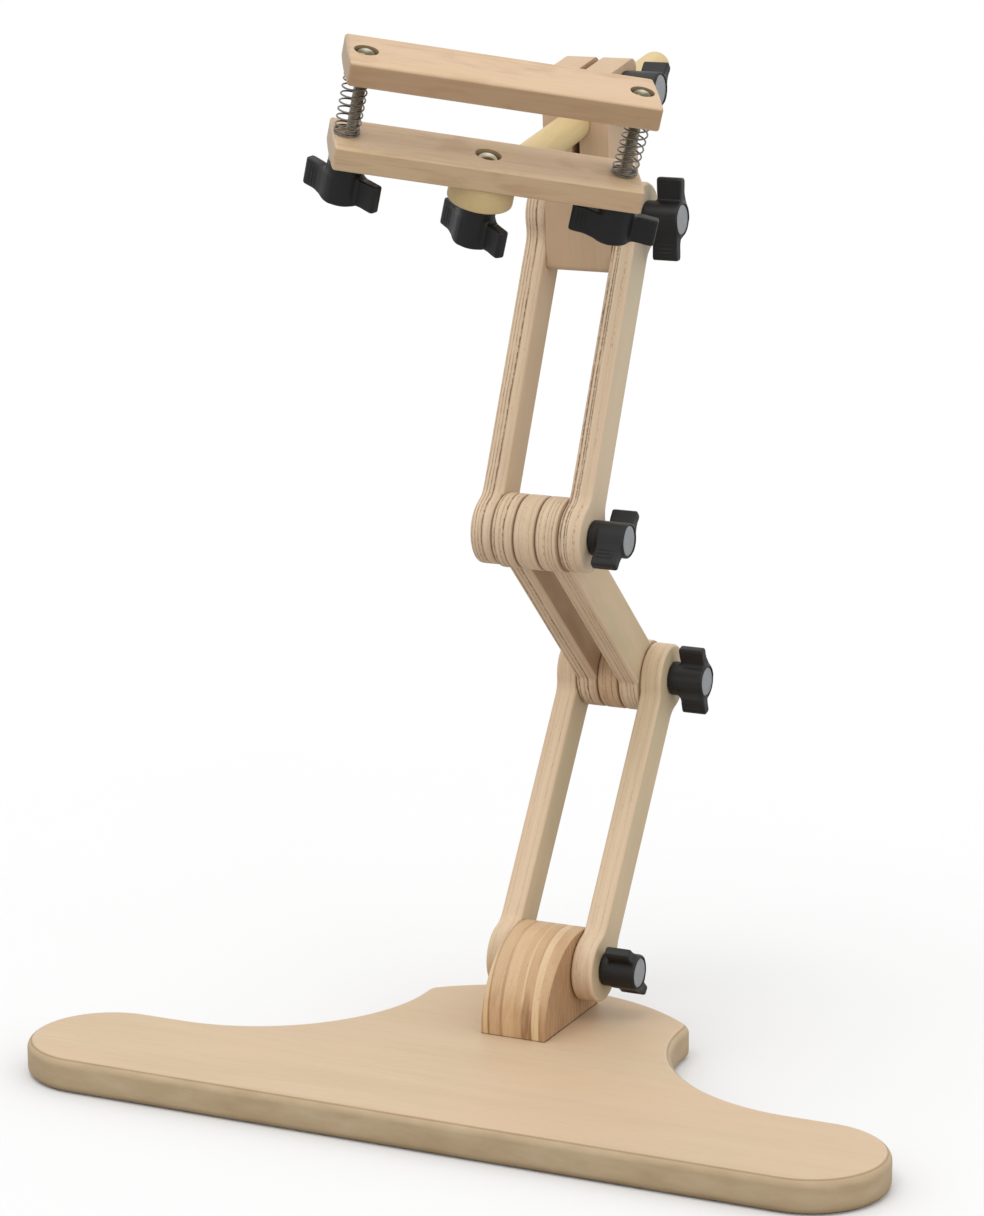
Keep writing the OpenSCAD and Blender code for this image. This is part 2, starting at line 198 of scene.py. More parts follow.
def bar_outline(length, w, r, f=12.0):
    yf = w / 2 + f
    xf = math.sqrt((r + f) ** 2 - yf ** 2)
    a = math.degrees(math.atan2(yf, xf))
    pts = arc(0, 0, r, a, 360 - a)
    pts += arc(xf, -yf, f, 180 - a, 90, hollow=True)
    pts += arc(length - xf, -yf, f, 90, a, hollow=True)
    pts += arc(length, 0, r, a - 180, 180 - a)
    pts += arc(length - xf, yf, f, -a, -90, hollow=True)
    pts += arc(xf, yf, f, -90, -(180 - a), hollow=True)
    return tidy(pts)


def base_outline():
    lx, ly, lr, hr, tw, ty, tc = 191.0, 65.5, 40.5, 93.0, 75.0, 106.0, 8.0
    hx, hy = tw + hr, -ly + lr + hr
    cx, cy = tw - tc, hy + 4.5
    k = ty - tc
    ay = (k * k - cx * cx - cy * cy) / (2 * (k - cy))
    ar = ty - ay
    d = math.degrees(math.atan2(cy - ay, cx))
    pts = arc(lx, -ly, lr, -90, 90, 3)
    pts += arc(hx, hy, hr, -90, -180, 2, hollow=True)
    pts += arc(cx, cy, tc, 0, d, 6)
    pts += arc(0, ay, ar, d, 180 - d, 2)
    pts += arc(-cx, cy, tc, 180 - d, 180, 6)
    pts += arc(-hx, hy, hr, 0, -90, 2, hollow=True)
    pts += arc(-lx, -ly, lr, 90, 270, 3)
    return tidy(pts)


def block_outline():
    f, r, br = 18.5, 45.0, 19.5
    top = PA[1] + br
    pts = arc(f + 0.4, BASE_T + 0.4, 0.4, 180, 270, 30)
    pts += arc(PA[0] + br - 0.4, BASE_T + 0.4, 0.4, -90, 0, 30)
    pts += arc(PA[0], PA[1], br, 0, 90)
    pts += arc(f + r, top - r, r, 90, 180, 3)
    return tidy(pts)


def jaw_outline(left, right, w=36.0, bulge=0.5, ease=1.8, skew=0.05):
    """A long board whose ends bulge a little and are sawn a touch askew."""
    r = ((w / 2) ** 2 + bulge ** 2) / (2 * bulge)
    y = w / 2 - ease
    x = right - r + math.sqrt((r - ease) ** 2 - y * y)
    a = math.degrees(math.atan2(y, x - right + r))
    pts = arc(x, -y, ease, -90, -a, 15)
    pts += arc(right - r, 0, r, -a, a, 0.5)
    pts += arc(x, y, ease, a, 90, 15)
    x = left - r + math.sqrt((r - ease) ** 2 - y * y)
    pts += arc(-x, y, ease, 90, 180 - a, 15)
    pts += arc(r - left, 0, r, 180 - a, 180 + a, 0.5)
    pts += arc(-x, -y, ease, 180 + a, 270, 15)
    # near the ends the outline leans by the skew
    return [(px - skew * py, py, nx, ny) for px, py, nx, ny in tidy(pts)]


# ---------------------------------------------------------------- plates
def bore(cx, cy, r, t, e=0.35, seat=None, n=40):
    """A bore through a plate, as stages from the top down: (radius, height, normal out, normal up)."""
    stages = []
    r1, depth = (seat if seat else (r, None))
    for k in range(4):
        a = math.radians(90 - 30 * k)
        stages.append((r1 + e - e * math.cos(a), t - e + e * math.sin(a), -math.cos(a), math.sin(a)))
    runs = [stages]
    if seat:
        runs[-1].append((r1, t - depth, -1, 0))
        runs.append([(r1, t - depth, 0, 1), (r, t - depth, 0, 1)])
        runs.append([(r, t - depth, -1, 0)])
    for k in range(4):
        a = math.radians(30 * k)
        runs[-1].append((r + e - e * math.cos(a), e - e * math.sin(a), -math.cos(a), -math.sin(a)))
    return (cx, cy, runs, n)


def plate(outline, t, r_top, r_bot, holes=(), steps=5, squash=1.0, painted_shade=(0, 0), pivots=(), reach=19.7, hole_shade=0.0):
    """A plate on z = 0..t whose edges are rounded. squash makes the rounding wider than deep.
    painted_shade says how dark the lower and the upper rim are painted within reach of the pivots, as painted shade in
    the creases where plates meet, and hole_shade how dark the walls of the holes are painted, as painted shade in the
    bores."""
    s = Shape()
    o = np.array(outline, float)
    p, nv = o[:, :2], o[:, 2:]
    near = np.zeros(len(p))
    for cx, cy in pivots:
        near = np.maximum(near, np.clip((reach - np.hypot(p[:, 0] - cx, p[:, 1] - cy)) / 0.7, 0, 1))
    rings = []
    for r, sign in ((r_bot, -1), (r_top, 1)):
        for k in range(steps + 1):
            a = math.radians(90 * k / steps) if sign > 0 else math.radians(90 - 90 * k / steps)
            inset = r * squash * (1 - math.cos(a))
            z = (t - r + r * math.sin(a)) if sign > 0 else (r - r * math.sin(a))
            pts = p - nv * inset
            nr = np.column_stack((nv * math.cos(a), np.full(len(nv), sign * math.sin(a))))
            # painted shade: the rims darken near the pivots, where plates meet in a crease
            deg = math.degrees(a)
            x = min(1.0, max(0.0, (deg - 12.0) / 50.0)) if deg < 89 else 0.0
            shade = (3 - 2 * x) * x * x * painted_shade[1 if sign > 0 else 0]
            rings.append((s.ring(np.column_stack((pts, np.full(len(pts), z))), near * shade), nr))
    for (a, na), (b, nb) in zip(rings, rings[1:]):
        s.strip(a, b, na, nb)
    tops, bottoms = [rings[-1][0]], [rings[0][0]]
    for cx, cy, runs, n in holes:
        ang = np.radians(np.arange(n) * 360.0 / n)
        c, sn = np.cos(ang), np.sin(ang)
        last = None
        # the bore walls below the top rim are marked for painted shade
        for run in runs:
            made = []
            for i, (r, z, nr, nz) in enumerate(run):
                if i == 0 and last is not None:
                    ring = last
                else:
                    ring = s.ring(np.column_stack((cx + r * c, cy + r * sn, np.full(n, z))),
                                  np.full(n, hole_shade * (z < t - 0.05)))
                made.append((ring, np.column_stack((nr * c, nr * sn, np.full(n, nz)))))
                last = ring
            if run is runs[0]:
                tops.append(made[0][0])
            for (a, na), (b, nb) in zip(made, made[1:]):
                s.strip(a, b, na, nb)
        bottoms.append(last)
    s.cap(tops, (0, 0, 1))
    s.cap(bottoms, (0, 0, -1))
    return s


# ---------------------------------------------------------------- turned pieces
def lathe(profile, n=48):
    """profile is a list of runs; a run is smooth, and runs meet at hard edges. Each point is (r, z)."""
    s = Shape()
    ang = np.radians(np.arange(n) * 360.0 / n)
    c, sn = np.cos(ang), np.sin(ang)
    last = None
    for run in profile:
        pts = np.array(run, float)
        d = np.diff(pts, axis=0)
        seg = np.column_stack((d[:, 1], -d[:, 0]))
        seg /= np.maximum(np.linalg.norm(seg, axis=1, keepdims=True), 1e-9)
        nr = np.zeros_like(pts)
        nr[:-1] += seg
        nr[1:] += seg
        nr[0] = seg[0] if len(pts) == 2 else nr[0]
        nr /= np.maximum(np.linalg.norm(nr, axis=1, keepdims=True), 1e-9)
        if pts[0, 0] < 1e-6:
            nr[0] = (0, np.sign(nr[0, 1]) or -1)
        if pts[-1, 0] < 1e-6:
            nr[-1] = (0, np.sign(nr[-1, 1]) or 1)
        made = []
        for i, (r, z) in enumerate(pts):
            if i == 0 and last is not None:
                ring = last
            elif r < 1e-6:
                ring = s.ring([(0, 0, z)])
            else:
                ring = s.ring(np.column_stack((r * c, r * sn, np.full(n, z))))
            made.append((ring, np.column_stack((nr[i, 0] * c, nr[i, 0] * sn, np.full(n, nr[i, 1])))))
            last = ring
        for (a, na), (b, nb) in zip(made, made[1:]):
            if len(a) == 1 and len(b) == 1:
                continue
            if len(a) == 1:
                s.fan(a[0], b, na[0], nb, up=False)
            elif len(b) == 1:
                s.fan(b[0], a, nb[0], na, up=True)
            else:
                s.strip(a, b, na, nb)
    return s


def eased(r0, z0, r1, z1, e, n=5):
    """Steps of a quarter round from a face at (.., z0) into a side at r1, or back: each step holds these inputs and its
    angle, not a point.
    """
    out = []
    for k in range(n + 1):
        a = math.radians(90 * k / n)
        out.append((r0, z0, r1, z1, e, a))
    return out


def round_end(r, z, e, up, n=5):
    """Points of a rounded rim between a side of radius r and a flat end at height z."""
    pts = []
    for k in range(n + 1):
        a = math.radians(90 * k / n)
        pts.append((r - e + e * math.cos(a), z - e + e * math.sin(a)) if up
                   else (r - e + e * math.cos(a), z + e - e * math.sin(a)))
    return pts if up else pts[::-1]


def bolt_shape(length, head_d, head_h, neck=0.0, thread=0.0, d=6.0, pitch=1.0):
    """Domed bolt: the seat at z = 0, the shank along +z; the last part may be threaded."""
    hr = ((head_d / 2) ** 2 + head_h ** 2) / (2 * head_h)
    zc = hr - head_h
    lip = 0.5
    dome = [(0.0, -head_h)]
    top = math.asin(min(1.0, (head_d / 2 - lip * 0.6) / hr))
    for k in range(1, 13):
        a = top * k / 12
        dome.append((hr * math.sin(a), zc - hr * math.cos(a)))
    edge_z = dome[-1][1]
    rim = [dome[-1], (head_d / 2, edge_z + (0 - edge_z) * 0.45), (head_d / 2 - 0.1, -0.12), (head_d / 2 - 0.35, 0.0)]
    r = d / 2
    plain_end = length - thread
    runs = [dome + rim[1:3], [rim[2], rim[3]], [rim[3], (r, 0.0)], [(r, 0.0), (r, max(plain_end, 0.4))]]
    if thread <= 0:
        runs[-1] = [(r, 0.0), (r, length - 0.8)]
        runs.append([(r, length - 0.8), (r - 0.8, length)])
        runs.append([(r - 0.8, length), (0.0, length)])
        return lathe(runs, 32)
    s = lathe(runs, 24)
    # a single-start thread: every ring follows the helix
    n, per = 24, 6
    last = list(range(len(s.v) - n, len(s.v)))
    depth = 0.52
    turns = thread / pitch
    count = int(turns * per)
    prev, prev_n = last, None
    ang = np.radians(np.arange(n) * 360.0 / n)
    base = np.column_stack((np.cos(ang), np.sin(ang)))
    for i in range(1, count + 1):
        z = plain_end + thread * i / count
        ph = (z / pitch - ang / (2 * math.pi)) % 1.0
        tri = 1 - np.abs(ph * 2 - 1)
        fade = min(1.0, i / (per * 1.5))
        tip = max(0.0, min(1.0, (length - z) / 0.9))
        rad = r - depth * fade * np.clip(tri * 1.25 - 0.12, 0, 1) - 0.7 * (1 - tip)
        ring = s.ring(np.column_stack((base * rad[:, None], np.full(n, z))))
        slope = np.where(ph < 0.5, 1.0, -1.0) * fade * 0.8
        nr = np.column_stack((base, slope))
        if prev_n is None:
            prev_n = np.column_stack((base, np.zeros(n)))
        s.strip(prev, ring, prev_n, nr)
        prev, prev_n = ring, nr
    centre = s.ring([(0, 0, length)])[0]
    s.fan(centre, prev, (0, 0, 1), [(0, 0, 1)] * n, up=True)
    return s


def tube(points, radius, sides=12):
    """A round wire along points, with rounded-off flat ends."""
    pts = np.array(points, float)
    tan = np.gradient(pts, axis=0)
    tan /= np.linalg.norm(tan, axis=1, keepdims=True)
    s = Shape()
    up = np.array((0.0, 0.0, 1.0))
    rings = []
    for p, t in zip(pts, tan):
        a = np.cross(t, up)
        a /= np.linalg.norm(a)
        b = np.cross(a, t)
        ang = np.radians(np.arange(sides) * 360.0 / sides)
        nr = np.cos(ang)[:, None] * a + np.sin(ang)[:, None] * b
        rings.append((s.ring(p + nr * radius), nr))
    for (a, na), (b, nb) in zip(rings, rings[1:]):
        s.strip(b, a, nb, na)
    for (ring, nr), p, t, flip in ((rings[0], pts[0], -tan[0], False), (rings[-1], pts[-1], tan[-1], True)):
        c = s.ring([p + t * radius * 0.3])[0]
        s.fan(c, ring, t, [t] * sides, up=not flip)
    return s


# ---------------------------------------------------------------- wing knobs
def poly_distance(px, py, poly):
    """Signed distance to a polygon, inside negative."""
    d2 = np.full(px.shape, 1e9)
    inside = np.zeros(px.shape, bool)
    m = len(poly)
    for i in range(m):
        ax, ay = poly[i]
        bx, by = poly[(i + 1) % m]
        ex, ey = bx - ax, by - ay
        wx, wy = px - ax, py - ay
        t = np.clip((wx * ex + wy * ey) / (ex * ex + ey * ey), 0, 1)
        d2 = np.minimum(d2, (wx - ex * t) ** 2 + (wy - ey * t) ** 2)
        cond = (ay > py) != (by > py)
        with np.errstate(divide="ignore", invalid="ignore"):
            xint = (bx - ax) * (py - ay) / np.where(by == ay, 1e-9, by - ay) + ax
        inside ^= cond & (px < xint)
    d = np.sqrt(d2)
    return np.where(inside, -d, d)


def smooth_min(a, b, k):
    h = np.clip(0.5 + 0.5 * (b - a) / k, 0, 1)
    return b + (a - b) * h - k * h * (1 - h)


def smooth_max(a, b, k):
    return -smooth_min(-a, -b, k)


def knob_field(x, y, z, reach):
    hub_r, hub_h = 9.0, 19.7
    rho = 1.1
    rad = np.hypot(x, y)
    # hub, with eased ends
    qx, qz = rad - (hub_r - rho), np.abs(z - hub_h / 2) - (hub_h / 2 - rho)
    hub = np.minimum(np.maximum(qx, qz), 0) + np.hypot(np.maximum(qx, 0), np.maximum(qz, 0)) - rho
    field = hub
    tip = reach
    # the outline of a wing: it leaves the hub on one side, hollows slightly
    # and ends in a blunt tip
    wing = [(0, -8.1), (2.4, -7.95), (5.0, -7.25), (8.0, -6.15), (11.0, -5.2), (14.0, -4.65),
            (tip - 2.0, -4.45), (tip - 1.0 - rho * 0.2, -4.05), (tip - rho, -3.3), (tip - rho, -0.9),
            (tip - rho - 0.5, -0.45), (13.0, -0.55), (10.0, -0.5), (8.0, 0.1), (0, 0.8)]
    wing = [(a, b + (0.35 if b < -5 else 0.35 * (b < -2))) for a, b in wing]
    rw = 1.0
    for sgn in (1, -1):
        wx, wy = x * sgn, y * sgn
        d2 = poly_distance(wx, wy, wing)
        zlo = 5.5 - 0.5 * np.clip(wx / tip, 0, 1) + 0.35 * np.exp(-((wx - 9.5) / 2.5) ** 2)
        zhi = 19.2 - 0.6 * np.clip(wx / tip, 0, 1) - 0.25 * np.exp(-((wx - 13) / 3.0) ** 2)
        mid, half = (zlo + zhi) / 2, (zhi - zlo) / 2 - rw
        dz = np.abs(z - mid) - half
        w = np.minimum(np.maximum(d2, dz), 0) + np.hypot(np.maximum(d2, 0), np.maximum(dz, 0)) - rw
        # three fine ribs across the outer face, near the tip
        near = np.clip((wx - (tip - 9.2)) / 0.5, 0, 1) * np.clip((tip - 2.6 - wx) / 0.5, 0, 1)
        face = np.clip((-2.2 - wy) / 0.6, 0, 1)
        inz = np.clip((z - 7.2) / 0.8, 0, 1) * np.clip((16.6 - z) / 0.8, 0, 1)
        rib = np.maximum(0, np.cos((wx - (tip - 3.9)) * 2 * math.pi / 2.1)) ** 2
        w = w - 0.3 * near * face * inz * rib
        field = smooth_min(field, w, 1.7)
    # socket for the cap and the blind bore
    cap = np.maximum(rad - 7.75, (19.7 - 1.75) - z)
    field = smooth_max(field, -cap, 0.35)
    hole = np.maximum(rad - 3.05, z - 17.6)
    field = smooth_max(field, -hole, 0.4)
    return field


def knob_mesh(reach, h=0.5):
    xs = np.arange(-reach - 1.5, reach + 1.5 + h, h)
    ys = np.arange(-11.0, 11.0 + h, h)
    zs = np.arange(-1.0, 21.0 + h, h)
    gx, gy, gz = np.meshgrid(xs, ys, zs, indexing="ij")
    f = knob_field(gx, gy, gz, reach)
    sign = f < 0
    nx, ny, nz = f.shape
    cells = np.zeros((nx - 1, ny - 1, nz - 1), int)
    corners = [(i, j, k) for i in (0, 1) for j in (0, 1) for k in (0, 1)]
    for i, j, k in corners:
        cells += sign[i:nx - 1 + i, j:ny - 1 + j, k:nz - 1 + k]
    mixed = (cells > 0) & (cells < 8)
    acc = np.zeros(mixed.shape + (3,))
    cnt = np.zeros(mixed.shape)
    edges = [(a, b) for a in corners for b in corners
             if a < b and sum(abs(p - q) for p, q in zip(a, b)) == 1]
    for a, b in edges:
        fa = f[a[0]:nx - 1 + a[0], a[1]:ny - 1 + a[1], a[2]:nz - 1 + a[2]]
        fb = f[b[0]:nx - 1 + b[0], b[1]:ny - 1 + b[1], b[2]:nz - 1 + b[2]]
        hit = (fa < 0) != (fb < 0)
        t = np.where(hit, fa / np.where(fa == fb, 1, fa - fb), 0)
        for ax in range(3):
            acc[..., ax] += np.where(hit, a[ax] + (b[ax] - a[ax]) * t, 0)
        cnt += hit
    idx = np.full(mixed.shape, -1)
    where = np.argwhere(mixed)
    idx[mixed] = np.arange(len(where))
    local = acc[mixed] / cnt[mixed][:, None]
    v = (where + local) * h + np.array((xs[0], ys[0], zs[0]))

    def grad(q, e=0.05):
        g = np.empty_like(q)
        for ax in range(3):
            d = np.zeros(3)
            d[ax] = e
            hi, lo = q + d, q - d
            g[:, ax] = (knob_field(hi[:, 0], hi[:, 1], hi[:, 2], reach)
                        - knob_field(lo[:, 0], lo[:, 1], lo[:, 2], reach)) / (2 * e)
        return g

    for _ in range(3):
        g = grad(v)
        d = knob_field(v[:, 0], v[:, 1], v[:, 2], reach)
        step = g * (d / np.maximum((g * g).sum(1), 0.3))[:, None]
        length = np.linalg.norm(step, axis=1, keepdims=True)
        v = v - step * np.minimum(1, h * 0.5 / np.maximum(length, 1e-9))
    g = grad(v)
    normals = g / np.maximum(np.linalg.norm(g, axis=1, keepdims=True), 1e-9)
    faces = []
    for ax in range(3):
        sl_a = [slice(0, n) for n in f.shape]
        sl_b = [slice(0, n) for n in f.shape]
        sl_a[ax] = slice(0, f.shape[ax] - 1)
        sl_b[ax] = slice(1, f.shape[ax])
        sa, sb = sign[tuple(sl_a)], sign[tuple(sl_b)]
        cross = np.argwhere(sa != sb)
        u, w = [(1, 2), (2, 0), (0, 1)][ax]
        for c in cross:
            if c[u] == 0 or c[w] == 0:
                continue
            quad = []
            for du, dw in ((-1, -1), (0, -1), (0, 0), (-1, 0)):
                q = list(c)
                q[u] += du
                q[w] += dw
                if q[u] >= mixed.shape[u] or q[w] >= mixed.shape[w]:
                    quad = None
                    break
                quad.append(int(idx[tuple(q)]))
            if quad is None or min(quad) < 0:
                continue
            if not sa[tuple(c)]:
                quad.reverse()
            faces.append(tuple(quad))
    s = Shape()
    s.v = [tuple(p) for p in v]
    s.f = faces
    s.n = [tuple(normals[i]) for q in faces for i in q]
    return s


# ---------------------------------------------------------------- materials
LIGHT = 1.3       # how brightly the studio lights a level surface; the colours below are as seen in it


def srgb(r, g, b):
    out = []
    for c in (r, g, b):
        c /= 255.0
        out.append((c / 12.92 if c <= 0.04045 else ((c + 0.055) / 1.055) ** 2.4) / LIGHT)
    return (*out, 1.0)


class Mat:
    """A material and short ways to add nodes to it."""

    def __init__(self, name):
        self.m = bpy.data.materials.new(name)
        self.m.use_nodes = True
        self.nt = self.m.node_tree
        self.nt.nodes.clear()
        out = self.nt.nodes.new("ShaderNodeOutputMaterial")
        self.bsdf = self.nt.nodes.new("ShaderNodeBsdfPrincipled")
        self.nt.links.new(self.bsdf.outputs[0], out.inputs["Surface"])

    def put(self, socket, value):
        if isinstance(value, bpy.types.NodeSocket):
            self.nt.links.new(value, socket)
        else:
            socket.default_value = value

    def node(self, kind, ins=None, **props):
        n = self.nt.nodes.new(kind)
        for k, v in props.items():
            setattr(n, k, v)
        for k, v in (ins or {}).items():
            self.put(n.inputs[k], v)
        return n

    def math(self, op, a, b=None, c=None, clamp=False):
        n = self.node("ShaderNodeMath", operation=op, use_clamp=clamp)
        for i, v in enumerate((a, b, c)):
            if v is not None:
                self.put(n.inputs[i], v)
        return n.outputs[0]

    def vec(self, op, a, b=None):
        n = self.node("ShaderNodeVectorMath", operation=op)
        self.put(n.inputs[0], a)
        if b is not None:
            self.put(n.inputs[1], b)
        return n.outputs[0]

    def noise(self, v, scale=1.0, detail=2.0, rough=0.5, distort=0.0):
        n = self.node("ShaderNodeTexNoise", {"Vector": v, "Scale": scale, "Detail": detail,
                                             "Roughness": rough, "Distortion": distort})
        return n.outputs["Fac"]

    def ramp(self, fac, stops, mode="LINEAR"):
        n = self.node("ShaderNodeValToRGB", {"Fac": fac})
        n.color_ramp.interpolation = mode
        el = n.color_ramp.elements
        while len(el) < len(stops):
            el.new(0.5)
        for e, (pos, col) in zip(el, stops):
            e.position = pos
            e.color = col if len(col) == 4 else (*col, 1)
        return n.outputs["Color"]

    def step(self, x, lo, hi):
        n = self.node("ShaderNodeMapRange", {"Value": x, "From Min": lo, "From Max": hi},
                      interpolation_type="SMOOTHSTEP")
        return n.outputs[0]

    def mix(self, fac, a, b, mode="MIX"):
        n = self.node("ShaderNodeMix", data_type="RGBA", blend_type=mode)
        self.put(n.inputs[0], fac)
        self.put(n.inputs[6], a)
        self.put(n.inputs[7], b)
        return n.outputs[2]

    def bump(self, height, dist, strength=1.0, normal=None):
        n = self.node("ShaderNodeBump", {"Height": height, "Strength": strength, "Distance": dist})
        if normal is not None:
            self.put(n.inputs["Normal"], normal)
        return n.outputs[0]


def grain_coords(m):
    a = m.node("ShaderNodeAttribute", attribute_name="grain")
    return a.outputs["Vector"]


def wood(name, light, dark, fleck=0.3, streak=0.5, rough=0.5, pink=None, band=0.0, scale=1.0, figure=0.0,
         centre=0.0, side_shade=0.3):
    """Solid wood: long soft streaks, fine fibres and short flecks along the grain. figure adds
    soft brown and yellow clouds, painted shade on the side faces between the top and the bottom (side_shade sets how
    much), and greyer ends away from the centre."""
    m = Mat(name)
    g = grain_coords(m)
    colour, height, fine = wood_tone(m, g, light, dark, fleck, streak, pink, band, scale)
    if figure > 0:
        brown = m.noise(m.vec("MULTIPLY", g, (0.028, 0.05, 0.16)), 1, 3, 0.6, 0.4)
        yellow = m.noise(m.vec("ADD", m.vec("MULTIPLY", g, (0.02, 0.06, 0.12)), (7.3, 2.1, 4.4)), 1, 3, 0.55)
        line = m.noise(m.vec("MULTIPLY", g, (0.018, 0.5, 0.5)), 1, 3, 0.6, 0.6)
        colour = m.mix(m.math("MULTIPLY", m.step(brown, 0.48, 0.68), 0.5 * figure), colour, srgb(190, 148, 110))
        colour = m.mix(m.math("MULTIPLY", m.step(yellow, 0.48, 0.68), 0.5 * figure), colour, srgb(226, 198, 150))
        colour = m.mix(m.math("MULTIPLY", m.step(line, 0.56, 0.68), 0.35 * figure), colour, srgb(182, 140, 104))
        # painted shade: the side faces, away from the top and the bottom, are darkened
        z = m.node("ShaderNodeSeparateXYZ", {"Vector": g}).outputs[2]
        edge = m.step(m.math("ABSOLUTE", m.math("SUBTRACT", z, 40.0 + JAW_T / 2)), JAW_T / 2 - 1.4, JAW_T / 2 - 0.5)
        side = m.math("SUBTRACT", 1.0, edge)
        colour = m.mix(m.math("MULTIPLY", side, side_shade), colour, srgb(174, 134, 96))
        x = m.node("ShaderNodeSeparateXYZ", {"Vector": g}).outputs[0]
        far = m.math("ABSOLUTE", m.math("SUBTRACT", x, centre))
        colour = m.mix(m.math("MULTIPLY", m.step(far, 73.6, 74.6), 0.55), colour, srgb(190, 170, 146))
        # painted shade on the walls of the bores and seats
        bore_wall_shade = m.node("ShaderNodeAttribute", attribute_name="painted_shade").outputs["Fac"]
        colour = m.mix(m.math("MULTIPLY", bore_wall_shade, 0.75, clamp=True), colour, srgb(158, 138, 104))
    wood_finish(m, colour, height, fine, rough)
    return m.m


def wood_tone(m, g, light, dark, fleck, streak, pink=None, band=0.0, scale=1.0):
    sep = m.node("ShaderNodeSeparateXYZ", {"Vector": g})
    x, y, z = sep.outputs
    wobble = m.math("MULTIPLY", m.math("SUBTRACT", m.noise(m.vec("MULTIPLY", g, (0.009, 0.02, 0.02)), 1, 2), 0.5), 10.0)
    comb = m.node("ShaderNodeCombineXYZ", {"X": x, "Y": m.math("ADD", y, wobble),
                                           "Z": m.math("ADD", z, m.math("MULTIPLY", wobble, 0.5))}).outputs[0]
    broad = m.noise(m.vec("MULTIPLY", comb, (0.005 * scale, 0.09 * scale, 0.09 * scale)), 1, 2, 0.5)
    medium = m.noise(m.vec("MULTIPLY", comb, (0.022 * scale, 0.75 * scale, 0.75 * scale)), 1, 2, 0.55)
    fine = m.noise(m.vec("MULTIPLY", comb, (0.09, 3.2, 3.2)), 1, 2, 0.5)
    dash = m.noise(m.vec("MULTIPLY", g, (0.11, 1.9, 1.9)), 1, 1, 0.4)
    tone = m.math("ADD", m.math("MULTIPLY", m.math("SUBTRACT", broad, 0.5), 1.5 * streak),
                  m.math("MULTIPLY", m.math("SUBTRACT", medium, 0.5), 1.3 * streak))
    tone = m.math("ADD", tone, m.math("MULTIPLY", m.math("SUBTRACT", fine, 0.5), 0.7 * streak))
    if band > 0:
        w = m.node("ShaderNodeTexWave", {"Vector": m.vec("MULTIPLY", comb, (0.0012, 0.03, 0.03)), "Scale": 4.0,
                                         "Distortion": 2.5, "Detail": 2.0, "Detail Scale": 0.8},
                   wave_type="BANDS", bands_direction="Y")
        tone = m.math("ADD", tone, m.math("MULTIPLY", m.math("SUBTRACT", w.outputs["Fac"], 0.5), band))
    colour = m.mix(m.math("ADD", tone, 0.4, clamp=True), light, dark)
    if pink is not None:
        cloud = m.noise(m.vec("MULTIPLY", g, (0.012, 0.03, 0.03)), 1, 2, 0.5)
        colour = m.mix(m.math("MULTIPLY", m.step(cloud, 0.42, 0.66), 0.6), colour, pink)
    flecks = m.math("MULTIPLY", m.step(dash, 0.6, 0.72), fleck)
    colour = m.mix(flecks, colour, dark)
    height = m.math("ADD", m.math("MULTIPLY", medium, 0.4), m.math("MULTIPLY", fine, 0.6))
    return colour, height, fine


def wood_finish(m, colour, height, fine, rough):
    m.put(m.bsdf.inputs["Base Color"], colour)
    m.put(m.bsdf.inputs["Roughness"], m.math("MULTIPLY_ADD", fine, 0.16, rough - 0.08))
    m.bsdf.inputs["IOR"].default_value = 1.42
    m.bsdf.inputs["Specular IOR Level"].default_value = 0.35
    m.put(m.bsdf.inputs["Normal"], m.bump(height, 0.0001, 0.5))


def kerf_wood(name, light, dark, pink, across, half, foot):
    """Solid wood with a saw cut in the middle, whose walls are rough and brown."""
    m = Mat(name)
    g = grain_coords(m)
    colour, height, fine = wood_tone(m, g, light, dark, 0.25, 0.4, pink)
    sep = m.node("ShaderNodeSeparateXYZ", {"Vector": g}).outputs
    off = m.math("ABSOLUTE", m.math("SUBTRACT", sep[2], across))
    cut = m.math("MULTIPLY", m.step(off, half + 0.22, half + 0.04), m.step(sep[0], foot, foot + 0.4))
    colour = m.mix(m.math("MULTIPLY", cut, 0.8), colour, srgb(206, 170, 134))
    wood_finish(m, colour, height, fine, 0.5)
    return m.m


def board_wood(name, light, dark, pink, core, core_dark, top, t):
    """Veneered board: the veneer on the faces, the plain pressed core round the edge."""
    m = Mat(name)
    g = grain_coords(m)
    colour, height, fine = wood_tone(m, g, light, dark, 0.28, 0.42, pink)
    z = m.node("ShaderNodeSeparateXYZ", {"Vector": g}).outputs[2]
    rag = m.noise(m.vec("MULTIPLY", g, (0.9, 0.9, 0.9)), 1, 2, 0.6)
    depth = m.math("MINIMUM", m.math("SUBTRACT", t, z), z)
    depth = m.math("ADD", depth, m.math("MULTIPLY", m.math("SUBTRACT", rag, 0.5), 0.22))
    inside = m.step(depth, top, top + 0.08)
    line = m.math("MULTIPLY", m.step(depth, top - 0.22, top), m.math("SUBTRACT", 1.0, m.step(depth, top + 0.3, top + 0.75)))
    cloud = m.noise(m.vec("MULTIPLY", g, (0.035, 0.035, 0.12)), 1, 3, 0.55)
    speck = m.noise(m.vec("MULTIPLY", g, (1.7, 1.7, 1.7)), 1, 3, 0.7)
    tone = m.math("ADD", m.math("MULTIPLY", m.math("SUBTRACT", cloud, 0.5), 1.6),
                  m.math("MULTIPLY", m.math("SUBTRACT", speck, 0.5), 0.5))
    # painted shade: the pressed core darkens towards the bottom of the edge
    tone = m.math("ADD", tone, m.math("MULTIPLY", m.step(z, 9.0, 0.5), 0.45))
    mdf = m.mix(m.math("ADD", tone, 0.35, clamp=True), core, core_dark)
    colour = m.mix(inside, colour, mdf)
    colour = m.mix(m.math("MULTIPLY", line, 0.4), colour, srgb(132, 102, 70))
    height = m.math("SUBTRACT", m.math("ADD", height, m.math("MULTIPLY", speck, 0.3)), m.math("MULTIPLY", line, 0.8))
    wood_finish(m, colour, height, fine, 0.52)
    return m.m


